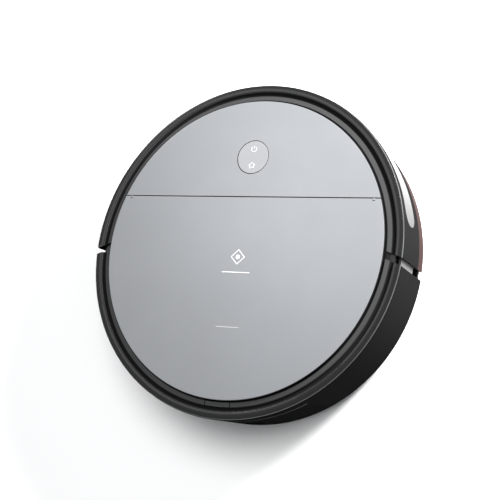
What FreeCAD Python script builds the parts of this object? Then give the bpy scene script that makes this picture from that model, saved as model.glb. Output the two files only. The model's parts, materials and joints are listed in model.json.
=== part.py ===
import FreeCAD, Part
import math
import os

import Sketcher

from FreeCAD import Placement, Rotation, Vector

# A round robotic floor cleaner, 330 mm across.
# Frame: origin at the centre of the footprint on the floor, +X to the robot's right,
# +Y the way it drives, +Z up.  Lengths are in millimetres.

DIMENSIONS = [
    ("rim_radius", 165.0, "largest radius, at the top of the outer wall"),
    ("rim_foot_radius", 160.4, "outer wall radius at its foot"),
    ("rim_foot_height", 10.0, "foot of the outer wall above the floor"),
    ("rim_thickness", 2.6, "outer wall thickness"),
    ("lip_radius", 148.4, "inner edge of the top ring"),
    ("lip_height", 75.1, "top of the inner ring"),
    ("lip_depth", 3.9, "depth of the top ring"),
    ("crest_height", 76.2, "top of the outer ring"),
    ("plate_height", 78.0, "top of the panels"),
    ("plate_radius", 147.2, "outer edge of the panels"),
    ("plate_thickness", 2.4, "panel thickness"),
    ("seam_y", 50.0, "line between the front panel and the lid"),
    ("seam_gap", 0.4, "width of that line"),
    ("key_y", 89.6, "centre of the round key"),
    ("key_radius", 16.6, "radius of the round key"),
    ("inner_wall_radius", 143.5, "outside of the wall behind the bumper"),
    ("inner_wall_thickness", 2.2, "thickness of that wall"),
    ("gap_width", 7.0, "gap at each end of the bumper"),
    ("gap_angle", 20.0, "slant of that gap in plan, in degrees"),
    ("gap_start_x", 141.6, "where the gap line meets y = 0"),
    ("base_radius", 152.0, "edge of the base plate inside the bumper"),
    ("base_height", 10.0, "underside of the base plate"),
    ("base_thickness", 2.6, "base plate thickness"),
    ("bay_height", 68.0, "underside of the bay floor below the lid"),
    ("bay_thickness", 2.0, "bay floor thickness"),
    ("window_top", 25.6, "top edge of the translucent band"),
    ("insert_foot", 38.5, "lower edge of the glossy insert"),
    ("insert_top", 67.0, "upper edge of the glossy insert"),
    ("insert_end_y", 30.0, "rear end of the glossy insert"),
    ("insert_corner", 13.0, "corner radius of the glossy insert"),
    ("wheel_radius", 33.0, "tyre radius"),
    ("wheel_width", 18.0, "tyre width"),
    ("wheel_inner_x", 104.5, "inner face of the tyre"),
    ("axle_y", -12.0, "wheel axle"),
    ("pivot_y", 34.0, "suspension pivot, along the robot"),
    ("pivot_height", 36.0, "suspension pivot above the floor"),
    ("arm_inner_x", 92.6, "inner face of the drive arm"),
    ("arm_width", 11.0, "drive arm width"),
    ("roller_y", -45.0, "main roller axis, along the robot"),
    ("roller_height", 23.5, "main roller axis above the floor"),
    ("roller_radius", 21.0, "main roller over its bristles"),
    ("roller_half_length", 78.0, "half the length of the bristle rows"),
    ("chamber_radius", 24.0, "inside of the roller chamber"),
    ("chamber_half_length", 80.0, "half the inside length of the chamber"),
    ("caster_y", 118.0, "caster swivel axis"),
    ("caster_radius", 10.0, "caster wheel radius"),
    ("caster_trail", 4.0, "how far the caster wheel trails its swivel axis"),
    ("brush_x", 82.0, "side brush axis, sideways"),
    ("brush_y", 85.0, "side brush axis, along the robot"),
    ("brush_cup_radius", 14.0, "side brush cup"),
    ("brush_reach", 68.5, "side brush radius over its tufts"),
    ("bin_half_width", 84.6, "half the width of the dustbin"),
    ("bin_foot", 14.6, "underside of the dustbin"),
    ("bin_top", 60.0, "top of the dustbin tub"),
    ("bin_front_y", -72.0, "front wall of the dustbin"),
    ("bin_wall", 2.0, "dustbin wall thickness"),
    ("fan_y", 8.0, "fan axis, along the robot"),
    ("fan_radius", 24.0, "fan housing radius"),
    ("shaft_clearance", 0.05, "radial running clearance of every shaft"),
]

doc = FreeCAD.newDocument("FloorCleaner")
sheet = doc.addObject("Spreadsheet::Sheet", "Dimensions")
for row, (alias, value, meaning) in enumerate(DIMENSIONS, 1):
    sheet.set(f"A{row}", meaning)
    sheet.set(f"B{row}", str(value))
    sheet.setAlias(f"B{row}", alias)
doc.recompute()


class Size:
    """A length that knows its value and the sheet formula it comes from."""

    def __init__(self, value, formula):
        self.value = value
        self.formula = formula

    def _join(self, other, sign, value):
        right = other.formula if isinstance(other, Size) else repr(float(other))
        return Size(value, f"({self.formula} {sign} {right})")

    def __add__(self, other):
        return self._join(other, "+", self.value + number(other))

    def __sub__(self, other):
        return self._join(other, "-", self.value - number(other))

    def __mul__(self, other):
        return self._join(other, "*", self.value * number(other))

    def __truediv__(self, other):
        return self._join(other, "/", self.value / number(other))

    def __radd__(self, other):
        return Size(number(other) + self.value, f"({float(other)} + {self.formula})")

    def __rsub__(self, other):
        return Size(number(other) - self.value, f"({float(other)} - {self.formula})")

    def __rmul__(self, other):
        return Size(number(other) * self.value, f"({float(other)} * {self.formula})")

    def __neg__(self):
        return self * -1.0


def number(size):
    return size.value if isinstance(size, Size) else float(size)


S = {alias: Size(float(sheet.get(alias)), f"Dimensions.{alias}") for alias, _, _ in DIMENSIONS}
PLATE_TOP = S["plate_height"]
PLATE_FOOT = PLATE_TOP - S["plate_thickness"]
BASE_FOOT = S["base_height"]
BASE_TOP = BASE_FOOT + S["base_thickness"]
RUN = S["shaft_clearance"]
SEAM_FRONT = S["seam_y"] + S["seam_gap"] / 2
SEAM_REAR = S["seam_y"] - S["seam_gap"] / 2
FAR = 200.0


def bind(target, prop, size):
    """Give a property its size, through the sheet where it has a formula."""
    if isinstance(size, Size):
        target.setExpression(prop, size.formula)
    else:
        setattr(target, prop, size)


def bind_place(target, at, turn=None):
    """Put an object at a point, turned by (axis, degrees) about its own origin."""
    rotation = Rotation(Vector(*turn[0]), turn[1]) if turn else Rotation()
    target.Placement = Placement(Vector(*[number(a) for a in at]), rotation)
    for letter, value in zip("xyz", at):
        if isinstance(value, Size):
            target.setExpression(f"Placement.Base.{letter}", value.formula)


# --- primitives and booleans -------------------------------------------------------------

def box(low, high):
    """A block between two corners."""
    item = doc.addObject("Part::Box", "Block")
    for prop, a, b in zip(("Length", "Width", "Height"), low, high):
        bind(item, prop, b - a)
    bind_place(item, low)
    return item


AXIS_TURN = {"x": ((0, 1, 0), 90), "y": ((1, 0, 0), -90), "z": None}


def cylinder(radius, length, at, axis="z"):
    """A cylinder from a point along +X, +Y or +Z."""
    item = doc.addObject("Part::Cylinder", "Rod")
    bind(item, "Radius", radius)
    bind(item, "Height", length)
    bind_place(item, at, AXIS_TURN[axis])
    return item


def cone(radius_low, radius_high, length, at, axis="z"):
    item = doc.addObject("Part::Cone", "Taper")
    bind(item, "Radius1", radius_low)
    bind(item, "Radius2", radius_high)
    bind(item, "Height", length)
    bind_place(item, at, AXIS_TURN[axis])
    return item


def fuse(parts):
    if len(parts) == 1:
        return parts[0]
    item = doc.addObject("Part::MultiFuse", "Joined")
    item.Shapes = parts
    item.Refine = True
    return item


def cut(base, tools):
    item = doc.addObject("Part::Cut", "Trimmed")
    item.Base = base
    item.Tool = fuse(tools)
    item.Refine = True
    return item


def common(first, second):
    item = doc.addObject("Part::MultiCommon", "Shared")
    item.Shapes = [first, second]
    item.Refine = True
    return item


def group(parts):
    """Separate solids kept together as one piece."""
    item = doc.addObject("Part::Compound", "Group")
    item.Links = parts
    return item


def turned(item, degrees, at, axis=(0, 0, 1)):
    """Turn a whole shape about an axis through a point."""
    holder = doc.addObject("Part::Compound", "Turned")
    holder.Links = [item]
    centre = Vector(*[number(a) for a in at])
    holder.Placement = Placement(Vector(), Rotation(Vector(*axis), degrees), centre)
    return holder


# --- sketched bodies ---------------------------------------------------------------------

def origin_plane(body, role):
    return next(f for f in body.Origin.OriginFeatures if f.Role == role)


def draw_outline(body, role, points):
    """A closed outline in a sketch.  A point is (u, v), or (u, v, mid_u, mid_v) where the
    side that leads to it is an arc through the middle point."""
    sketch = body.newObject("Sketcher::SketchObject", "Outline")
    sketch.AttachmentSupport = (origin_plane(body, role), [""])
    sketch.MapMode = "FlatFace"
    flat = [Vector(number(p[0]), number(p[1]), 0) for p in points]
    ends = []
    for i, point in enumerate(points):
        start, end = flat[i - 1], flat[i]
        if len(point) == 4:
            middle = Vector(number(point[2]), number(point[3]), 0)
            side = sketch.addGeometry(Part.Arc(start, middle, end), False)
            first = 1 if sketch.getPoint(side, 1).distanceToPoint(start) < 1e-6 else 2
            sketch.addConstraint(Sketcher.Constraint("Radius", side, sketch.Geometry[side].Radius))
        else:
            side = sketch.addGeometry(Part.LineSegment(start, end), False)
            first = 1
        ends.append((side, first, 3 - first))
    for i, point in enumerate(points):
        side, _, last = ends[i]
        after, first, _ = ends[(i + 1) % len(points)]
        sketch.addConstraint(Sketcher.Constraint("Coincident", side, last, after, first))
        for kind, size in (("DistanceX", point[0]), ("DistanceY", point[1])):
            place = sketch.addConstraint(
                Sketcher.Constraint(kind, -1, 1, side, last, number(size))
            )
            if isinstance(size, Size):
                sketch.setExpression(f"Constraints[{place}]", size.formula)
    return sketch


def revolved(points, at=(0, 0, 0), turn=None, role="XZ_Plane", axis="V_Axis"):
    """A PartDesign body turned from an outline of (radius, height) points."""
    body = doc.addObject("PartDesign::Body", "Turning")
    sketch = draw_outline(body, role, points)
    feature = body.newObject("PartDesign::Revolution", "Revolution")
    feature.Profile = sketch
    feature.ReferenceAxis = (sketch, [axis])
    feature.Angle = 360.0
    body.Tip = feature
    bind_place(body, at, turn)
    return body


def padded(points, length, role="XY_Plane", at=(0, 0, 0), both_ways=False):
    """A PartDesign body pushed out of an outline."""
    body = doc.addObject("PartDesign::Body", "Plate")
    sketch = draw_outline(body, role, points)
    feature = body.newObject("PartDesign::Pad", "Pad")
    feature.Profile = sketch
    bind(feature, "Length", length)
    feature.Midplane = both_ways
    body.Tip = feature
    bind_place(body, at)
    return body


def tube(outer, inner, length, at, axis="z"):
    """A cylinder with a bore all the way through."""
    return cut(cylinder(outer, length, at, axis), [cylinder(inner, length, at, axis)])


# --- pieces ------------------------------------------------------------------------------

pieces = {}


def keep(name, item):
    """Name a finished piece; its label names its file."""
    item.Label = name
    pieces[name] = item


def polar(radius, degrees):
    """A point on a circle about the origin, counted from +X."""
    angle = math.radians(degrees)
    return radius * math.cos(angle), radius * math.sin(angle)


# The top ring and the outer wall: the bumper and the rear housing share this outline.

WALL = S["rim_thickness"]
RIM = S["rim_radius"]
FOOT = S["rim_foot_radius"]
LIP = S["lip_radius"]
LIP_TOP = S["lip_height"]
LIP_FOOT = LIP_TOP - S["lip_depth"]
CREST = S["crest_height"]
RIM_FOOT = S["rim_foot_height"]
SPLIT = S["window_top"]


def wall_radius(height):
    """Radius of the outer wall at a height: it leans in a little towards its foot."""
    lean = (RIM - FOOT) / (LIP_FOOT - RIM_FOOT)
    return FOOT + (height - RIM_FOOT) * lean


def ring_outline(foot, flange):
    """The ring's two bands with the groove between them, and the wall down to its foot.
    The flange is the list of points that join the ring to the wall inside it."""
    return flange + [
        (LIP, LIP_TOP - 0.6),
        (LIP + 0.18, LIP_TOP - 0.18),
        (LIP + 0.6, LIP_TOP),
        (LIP + 4.0, LIP_TOP - 0.2),
        (LIP + 4.7, LIP_TOP - 0.6),
        (LIP + 5.5, LIP_TOP - 1.6),
        (LIP + 6.2, LIP_TOP - 2.1),
        (LIP + 7.4, LIP_TOP - 2.1),
        (LIP + 8.2, LIP_TOP - 1.4),
        (LIP + 8.8, LIP_TOP - 0.1),
        (LIP + 9.6, CREST - 0.35, LIP + 9.1, CREST - 0.65),
        (RIM - 1.2, CREST - 0.7, LIP + 12.3, CREST),
        (RIM - 0.4, CREST - 2.2, RIM - 0.6, CREST - 1.35),
        (RIM - 0.9, CREST - 2.5),
        (RIM - 0.9, CREST - 3.0),
        (RIM, CREST - 4.2, RIM - 0.25, CREST - 3.5),
        (wall_radius(foot), foot),
        (wall_radius(foot) - WALL, foot),
        (RIM - WALL, LIP_FOOT - 2),
        (RIM - WALL - 2.0, LIP_FOOT, RIM - WALL - 0.6, LIP_FOOT - 0.6),
    ]


def wall_band(low, high, outer_step, depth):
    """A band of the outer wall, sunk by outer_step and of the given depth."""
    return revolved([
        (wall_radius(low) - outer_step - depth, low),
        (wall_radius(low) - outer_step, low),
        (wall_radius(high) - outer_step, high),
        (wall_radius(high) - outer_step - depth, high),
    ])


SLOPE = math.tan(math.radians(S["gap_angle"].value))
HALF_GAP = S["gap_width"] / 2 / math.cos(math.radians(S["gap_angle"].value))


def gap_line(x, side):
    """Where the slanted end face is along Y, at a distance x from the middle: side is 1 for the
    bumper's face and -1 for the housing's."""
    return (S["gap_start_x"] - x) * SLOPE + HALF_GAP * side


def bumper_region():
    """Everything in front of the two slanted gaps."""
    inner, outer = 120.0, FAR
    points = [(-inner, gap_line(inner, 1)), (inner, gap_line(inner, 1)), (outer, gap_line(outer, 1)),
              (outer, FAR), (-outer, FAR), (-outer, gap_line(outer, 1))]
    return padded(points, 100.0)


def housing_region():
    """Everything behind the two slanted gaps."""
    inner, outer = 120.0, FAR
    points = [(inner, gap_line(inner, -1)), (-inner, gap_line(inner, -1)),
              (-outer, gap_line(outer, -1)), (-outer, -FAR), (outer, -FAR),
              (outer, gap_line(outer, -1))]
    return padded(points, 100.0)


def insert_region(margin):
    """The glossy insert's long rounded shape, seen from the side, through the whole width."""
    low, high = S["insert_foot"] - margin, S["insert_top"] + margin
    end = S["insert_end_y"] - margin
    r = S["insert_corner"]
    near = r * (1 - math.sqrt(0.5))
    points = [(FAR, low), (FAR, high), (end + r, high),
              (end, high - r, end + near, high - near), (end, low + r),
              (end + r, low, end + near, low + near)]
    return padded(points, 2 * FAR, role="YZ_Plane", both_ways=True)


# --- bumper ---

GUIDE_X = 45.0
GUIDE_Y = 130.8
GUIDE_HEIGHT = 20.6
SWITCH_X = 24.0


def bumper_tab(x):
    """A forked tab inside the bumper that slides on a post of the base."""
    tab = box((x - 7, GUIDE_Y - 4.5, GUIDE_HEIGHT), (x + 7, RIM, GUIDE_HEIGHT + 2))
    slot = box((x - 2.4, GUIDE_Y - 6, GUIDE_HEIGHT - 1), (x + 2.4, GUIDE_Y + 7.5, GUIDE_HEIGHT + 3))
    inside = cylinder(wall_radius(GUIDE_HEIGHT) - WALL - 0.5, 60, (0, 0, 0))
    return common(cut(tab, [slot]), inside)


def switch_pad(x):
    """A finger inside the bumper that reaches through the inner wall towards a switch."""
    finger = box((x - 4, 136, 36), (x + 4, RIM, 44))
    return common(finger, cylinder(wall_radius(36.0) - WALL + 0.5, 60, (0, 0, 0)))


def make_bumper():
    shell = common(revolved(ring_outline(SPLIT, [(LIP, LIP_FOOT)])), bumper_region())
    rib = common(wall_band(SPLIT - 6, SPLIT + 2, WALL - 0.25, 1.8), bumper_region())
    recess = common(wall_band(30.0, 70.0, -1.0, 2.2), insert_region(0.3))
    tabs = [bumper_tab(x) for x in (-GUIDE_X, GUIDE_X)]
    pads = [switch_pad(x) for x in (-SWITCH_X, SWITCH_X)]
    body = cut(fuse([shell, rib] + tabs + pads), [recess])
    keep("bumper_shell", body)
    keep("bumper_insert", common(wall_band(32.0, 69.0, 0.1, 1.0), insert_region(0.0)))
    window = revolved([
        (wall_radius(RIM_FOOT) - WALL + 0.3, RIM_FOOT),
        (wall_radius(RIM_FOOT) - 0.6, RIM_FOOT),
        (wall_radius(RIM_FOOT) - 0.1, RIM_FOOT + 0.6),
        (wall_radius(SPLIT) - 0.1, SPLIT - 0.5),
        (wall_radius(SPLIT) - WALL + 0.3, SPLIT - 0.5),
    ])
    keep("bumper_window", common(window, bumper_region()))


# --- rear housing, inner wall and deck ---

BAY_FOOT = S["bay_height"]
BAY_TOP = BAY_FOOT + S["bay_thickness"]
INNER_WALL = S["inner_wall_radius"]
TAB_HALF_ANGLE = 5.2
PILLAR_FOOT, PILLAR_TOP = 29.0, 70.0
PILLAR_RADII = (151.0, 156.0)
LEDGE_RADIUS = 150.0
BIN_SIDE = S["bin_half_width"]
BIN_FOOT = S["bin_foot"]
BIN_TOP = S["bin_top"]
BIN_COVER_TOP = BIN_TOP + 2.2


def wedge(inner, outer, half_angle, low, high):
    """A sector of a ring at the rear of the robot."""
    ring = revolved([(inner, low), (outer, low), (outer, high), (inner, high)])
    ax, ay = polar(FAR, -90 - half_angle)
    bx, by = polar(FAR, -90 + half_angle)
    return common(ring, padded([(0.0, 0.0), (ax, ay), (bx, by)], 100.0))


def make_rear_housing():
    flange = [(INNER_WALL, LIP_FOOT), (INNER_WALL, LIP_FOOT + 2), (LIP, LIP_FOOT + 2)]
    ring = revolved(ring_outline(RIM_FOOT, flange))
    doorway = box((-BIN_SIDE - 0.6, -FAR, BIN_FOOT - 0.7), (BIN_SIDE + 0.6, -90, BIN_COVER_TOP + 0.8))
    notch = wedge(LIP - 1, LIP + 4.9, TAB_HALF_ANGLE, LIP_FOOT - 1, LIP_TOP + 1)
    keep("rear_housing", cut(common(ring, housing_region()), [doorway, notch]))


def make_gap_pillars():
    """The body's own stepped pillars, which show through the gap at each end of the bumper."""
    inside, outside = PILLAR_RADII
    step = PILLAR_TOP - 10
    face = wall_radius(step) - WALL - 0.9
    ring = revolved([
        (INNER_WALL - 1.7, PILLAR_FOOT), (wall_radius(PILLAR_FOOT) - WALL - 0.9, PILLAR_FOOT),
        (face, step), (face, PILLAR_TOP - 4), (face - 2, PILLAR_TOP - 4), (face - 2, step),
        (outside, step), (outside, PILLAR_TOP), (inside, PILLAR_TOP), (inside, step),
        (INNER_WALL - 1.7, step),
    ])
    spans = group(side_boxes((135.0, -13.0, PILLAR_FOOT - 1), (FAR, 7.0, PILLAR_TOP + 1)))
    return common(ring, spans)


def make_ledge():
    """A ledge round the inner wall, below the bumper's lip, that keeps dust and light out."""
    ledge = tube(LEDGE_RADIUS, INNER_WALL - 1.0, 1.5, (0, 0, LIP_FOOT - 4.2))
    return common(ledge, box((-FAR, -14.0, 60), (FAR, FAR, 80)))


def make_lugs():
    """The two lugs that hold the lid's pins, with rounded heads that the lid turns past."""
    lugs = []
    for x in (-LUG_X, LUG_X):
        low = (x - LUG_HALF, SEAM_REAR - 2.6, PLATE_FOOT - 1)
        post = box(low, (x + LUG_HALF, SEAM_REAR + 0.1, LID_PIN_HEIGHT))
        block = box(low, (x + LUG_HALF, SEAM_REAR + 0.1, PLATE_TOP - 0.15))
        round_head = cylinder(LUG_RADIUS, 8, (x - 4, LID_PIN_Y, LID_PIN_HEIGHT), "x")
        lugs.append(fuse([post, common(block, round_head)]))
    return lugs


def make_top_deck():
    wall_top = PLATE_FOOT - 0.4
    wall = tube(INNER_WALL, INNER_WALL - S["inner_wall_thickness"], wall_top - BASE_TOP, (0, 0, BASE_TOP))
    inside = INNER_WALL - 1.0
    step_y = SEAM_FRONT + 2.2
    front = common(cylinder(inside, 2.6, (0, 0, PLATE_FOOT - 2.6)),
                   box((-FAR, SEAM_FRONT, 60), (FAR, FAR, 80)))
    floor = common(cylinder(inside, S["bay_thickness"], (0, 0, BAY_FOOT)),
                   box((-FAR, -FAR, 60), (FAR, step_y, 80)))
    step = common(cylinder(inside, PLATE_FOOT - BAY_FOOT, (0, 0, BAY_FOOT)),
                  box((-FAR, SEAM_FRONT, 60), (FAR, step_y, 80)))
    hinge_blocks = [box((x - 3, SEAM_REAR - 6, BAY_FOOT), (x + 3, SEAM_FRONT + 1, wall_top))
                    for x in (-LUG_X, LUG_X)]
    spring_seat = box((-9, -LIP - 4.2, BIN_COVER_TOP + 0.9), (9, -INNER_WALL + 2, BIN_COVER_TOP + 1.9))
    pin_holes = [cylinder(0.65 + RUN, 8, (x - 4, LID_PIN_Y, LID_PIN_HEIGHT), "x") for x in (-LUG_X, LUG_X)]
    key_hole = cylinder(S["key_radius"] + 2.4, 8, (0, S["key_y"], 70))
    trunnions = cylinder(KEY_PIN + RUN, 50, (-25, S["key_y"], KEY_PIN_HEIGHT), "x")
    doorway = box((-BIN_SIDE - 0.6, -FAR, BASE_TOP - 1), (BIN_SIDE + 0.6, -90, BIN_COVER_TOP + 0.8))
    rocker_hole = box((ROCKER_X - 8, ROCKER_Y - 11, 60), (ROCKER_X + 8, ROCKER_Y + 11, 80))
    tab_windows = [box((x - 7.6, 100, GUIDE_HEIGHT - 0.6), (x + 7.6, FAR, GUIDE_HEIGHT + 2.6))
                   for x in (-GUIDE_X, GUIDE_X)]
    pad_windows = [box((x - 5.5, 100, 34.5), (x + 5.5, FAR, 45.5)) for x in (-SWITCH_X, SWITCH_X)]
    deck = cut(fuse([wall, front, floor, step] + hinge_blocks + make_lugs()),
               pin_holes + [key_hole, trunnions, doorway, rocker_hole] + tab_windows + pad_windows)
    keep("top_deck", fuse([deck, spring_seat, make_rocker_case(), make_gap_pillars(), make_ledge()]))


def make_release_button():
    cap = wedge(LIP + 0.2, LIP + 4.4, TAB_HALF_ANGLE - 0.3, LIP_TOP - 2.6, LIP_TOP - 0.2)
    stem = box((-8, -LIP - 3.6, 69.6), (8, -LIP - 1.0, LIP_TOP - 1.6))
    keep("release_button", fuse([cap, stem]))
    keep("release_spring", coil(1.8, 0.3, BIN_COVER_TOP + 1.9, 69.6, 4, (0, -number(LIP) - 2.3)))


# --- panels, lid and key ---

LID_BEND = S["plate_thickness"] / 2
LID_PIN_Y = SEAM_REAR - LID_BEND
LID_PIN_HEIGHT = PLATE_FOOT + LID_BEND
LUG_X = 131.5
LUG_HALF = 1.2
LUG_RADIUS = 1.45
KEY_PIN = 0.8
KEY_PIN_HEIGHT = PLATE_FOOT - 1.3
ROCKER_X, ROCKER_Y = 74.0, 22.0


def panel_disc():
    """The full round panel with its softly rounded edge."""
    r = S["plate_radius"]
    return revolved([
        (0.0, PLATE_FOOT), (r - 0.4, PLATE_FOOT), (r, PLATE_FOOT + 0.4),
        (r, PLATE_TOP - 0.8), (r - 0.23, PLATE_TOP - 0.23), (r - 0.8, PLATE_TOP), (0.0, PLATE_TOP),
    ])


def make_panels():
    front = common(panel_disc(), box((-FAR, SEAM_FRONT, 60), (FAR, FAR, 90)))
    hole = cylinder(S["key_radius"] + 0.5, 8, (0, S["key_y"], 72))
    keep("front_panel", cut(front, [hole]))
    flat = common(panel_disc(), box((-FAR, -FAR, 60), (FAR, LID_PIN_Y, 90)))
    bullnose = common(cylinder(LID_BEND, 290, (-145, LID_PIN_Y, LID_PIN_HEIGHT), "x"), panel_disc())
    stiffener = tube(134.0, 132.6, 1.4, (0, 0, PLATE_FOOT - 1.4))
    rib = common(stiffener, box((-FAR, -FAR, 60), (FAR, 36, 90)))
    notch_half = LUG_HALF + 0.15
    notches = [box((x - notch_half, SEAM_REAR - 2.8, 70), (x + notch_half, SEAM_FRONT, 90))
               for x in (-LUG_X, LUG_X)]
    pins = [cylinder(0.65, 7, (x - 3.5, LID_PIN_Y, LID_PIN_HEIGHT), "x") for x in (-LUG_X, LUG_X)]
    keep("lid_panel", fuse([cut(fuse([flat, bullnose, rib]), notches)] + pins))


def make_key():
    r = S["key_radius"]
    cap = revolved([
        (0.0, PLATE_FOOT - 1.9), (r - 0.5, PLATE_FOOT - 1.9), (r, PLATE_FOOT - 1.2),
        (r, PLATE_TOP - 0.5), (r - 0.5, PLATE_TOP, r - 0.15, PLATE_TOP - 0.15), (0.0, PLATE_TOP - 0.1),
    ], at=(0, S["key_y"], 0))
    pin = cylinder(KEY_PIN, 2 * r + 8, (-r - 4, S["key_y"], KEY_PIN_HEIGHT), "x")
    keep("key_cap", fuse([cap, pin]))
    keep("key_symbols", group([power_symbol(S["key_y"] + 8.2), home_symbol(S["key_y"] - 8.2)]))


def power_symbol(y):
    """A broken ring with an upright bar."""
    z = PLATE_TOP
    ring = tube(3.0, 2.4, 0.12, (0, y, z))
    mouth = box((-1.0, y + 1.0, z - 0.2), (1.0, y + 4, z + 0.4))
    bar = box((-0.32, y + 0.6, z), (0.32, y + 3.6, z + 0.12))
    return fuse([cut(ring, [mouth]), bar])


def home_symbol(y):
    """A plain house: a roof and a square below it."""
    z = PLATE_TOP
    roof = padded([(-3.4, y), (0.0, y + 3.3), (3.4, y), (2.8, y - 0.5), (0.0, y + 2.3), (-2.8, y - 0.5)],
                  0.12, at=(0, 0, z))
    walls = cut(box((-2.3, y - 3.2, z), (2.3, y + 0.2, z + 0.12)),
                [box((-1.7, y - 2.6, z - 0.2), (1.7, y + 1, z + 0.4))])
    return fuse([roof, walls])


# --- base ---

WHEEL_X = S["wheel_inner_x"]
AXLE_Y = S["axle_y"]
AXLE_HEIGHT = S["wheel_radius"]
PIVOT_Y = S["pivot_y"]
PIVOT_HEIGHT = S["pivot_height"]
ARM_X = S["arm_inner_x"]
ARM_END = ARM_X + S["arm_width"]
CHAMBER = S["chamber_radius"]
CHAMBER_END = S["chamber_half_length"]
ROLLER_Y = S["roller_y"]
ROLLER_HEIGHT = S["roller_height"]
CASTER_Y = S["caster_y"]
BRUSH_X = S["brush_x"]
BRUSH_Y = S["brush_y"]
SCREW_SPOTS = [(-45, 121), (45, 121), (-131, 20), (131, 20), (-122, -62), (122, -62),
               (-58, -122), (58, -122), (-20, 14), (20, 14)]
SPEAKER_X, SPEAKER_Y = -112, 58
CLIFF_ANGLES = [18, 62, 118, 162]
CONTACT_X = 34.0
BASE_STEP_Y = 2.0
COVER_LOW = (-42.0, 31.0)
COVER_HIGH = (42.0, 99.0)


def side_boxes(low, high):
    """A block and its mirror image across the robot."""
    (x0, y0, z0), (x1, y1, z1) = low, high
    return [box(low, high), box((-x1, y0, z0), (-x0, y1, z1))]


def make_base():
    inner = cylinder(S["base_radius"], S["base_thickness"], (0, 0, BASE_FOOT))
    outer = common(cylinder(FOOT - WALL - 0.4, S["base_thickness"], (0, 0, BASE_FOOT)),
                   box((-FAR, -FAR, 0), (FAR, BASE_STEP_Y, 50)))
    posts = [cylinder(2.0, 12.0, (x, GUIDE_Y, BASE_TOP - 0.5)) for x in (-GUIDE_X, GUIDE_X)]
    posts += [cylinder(2.5, 51.5 - BASE_TOP, (x, y, BASE_TOP - 0.5)) for x in (-54, 54) for y in (42, 88)]
    wells = side_boxes((ARM_X - 1.2, -49, 0), (WHEEL_X + S["wheel_width"] + 1.6, 29, 50))
    mouth = box((-CHAMBER_END, ROLLER_Y - 21.4, 0), (CHAMBER_END, ROLLER_Y + 21.4, 50))
    hatch = box((COVER_LOW[0] - 0.3, COVER_LOW[1] - 0.3, 0), (COVER_HIGH[0] + 0.3, COVER_HIGH[1] + 0.3, 50))
    caster_hole = cylinder(17.4, 50, (0, CASTER_Y, 0))
    brush_holes = [cylinder(7.8, 50, (x, BRUSH_Y, 0)) for x in (-BRUSH_X, BRUSH_X)]
    windows = [rim_block(a, 16.6, 8.6, 0.0, 50.0) for a in CLIFF_ANGLES]
    contacts = side_boxes((CONTACT_X - 7.2, 103.8, 0), (CONTACT_X + 7.2, 112.2, 50))
    screw_holes = [cylinder(3.2, 1.4, (x, y, BASE_FOOT - 0.1)) for x, y in SCREW_SPOTS]
    shank_holes = [cylinder(1.6, 50, (x, y, 0)) for x, y in SCREW_SPOTS]
    grille = [cylinder(1.1, 50, (SPEAKER_X + 5 * i, SPEAKER_Y + 5 * j, 0))
              for i in (-1, 0, 1) for j in (-1, 0, 1)]
    keep("base_chassis", cut(fuse([inner, outer] + posts + pivot_brackets()),
                             wells + [mouth, hatch, caster_hole] + brush_holes + windows + contacts
                             + screw_holes + shank_holes + grille))


def rim_block(degrees, length, width, low, high):
    """A block set across the radius, near the front edge of the base."""
    x, y = polar(134.0, degrees)
    a, b = length / 2, width / 2
    item = padded([(-a, -b), (a, -b), (a, b), (-a, b)], high - low)
    item.Placement = Placement(Vector(x, y, low), Rotation(Vector(0, 0, 1), degrees + 90))
    return item


def make_base_fittings():
    foot = number(BASE_FOOT)
    keep("cliff_sensors", group([rim_block(a, 16.0, 8.0, foot + 0.3, foot + 8.3) for a in CLIFF_ANGLES]))
    keep("charging_contacts", group(side_boxes((CONTACT_X - 7, 104, BASE_FOOT - 0.3),
                                               (CONTACT_X + 7, 112, BASE_TOP))))
    heads = [fuse([cylinder(3.0, 1.1, (x, y, BASE_FOOT + 0.1)), cylinder(1.5, 2.6, (x, y, BASE_FOOT + 1.0))])
             for x, y in SCREW_SPOTS]
    slots = [box((x - 2, y - 0.4, 0), (x + 2, y + 0.4, BASE_FOOT + 0.7)) for x, y in SCREW_SPOTS]
    cross = [box((x - 0.4, y - 2, 0), (x + 0.4, y + 2, BASE_FOOT + 0.7)) for x, y in SCREW_SPOTS]
    keep("base_screws", cut(group(heads), slots + cross))
    cover = box((COVER_LOW[0], COVER_LOW[1], BASE_FOOT), (COVER_HIGH[0], COVER_HIGH[1], BASE_FOOT + 2.2))
    grip = [box((x - 12, COVER_HIGH[1] - 8, 0), (x + 12, COVER_HIGH[1] - 5, BASE_FOOT + 1))
            for x in (-20, 20)]
    keep("battery_cover", cut(cover, grip))
    mouth = box((-CHAMBER_END + 1, -63, 0), (CHAMBER_END - 1, -27, 50))
    guard = box((-CHAMBER_END - 6, -70.5, BASE_FOOT - 1.4), (CHAMBER_END + 6, -19.5, BASE_FOOT))
    tabs = [box((x - 9, -19.6, BASE_FOOT - 1.4), (x + 9, -15.5, BASE_FOOT)) for x in (-55, 55)]
    keep("roller_guard", cut(fuse([guard] + tabs), [mouth]))


# --- main roller and its chamber ---

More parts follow.
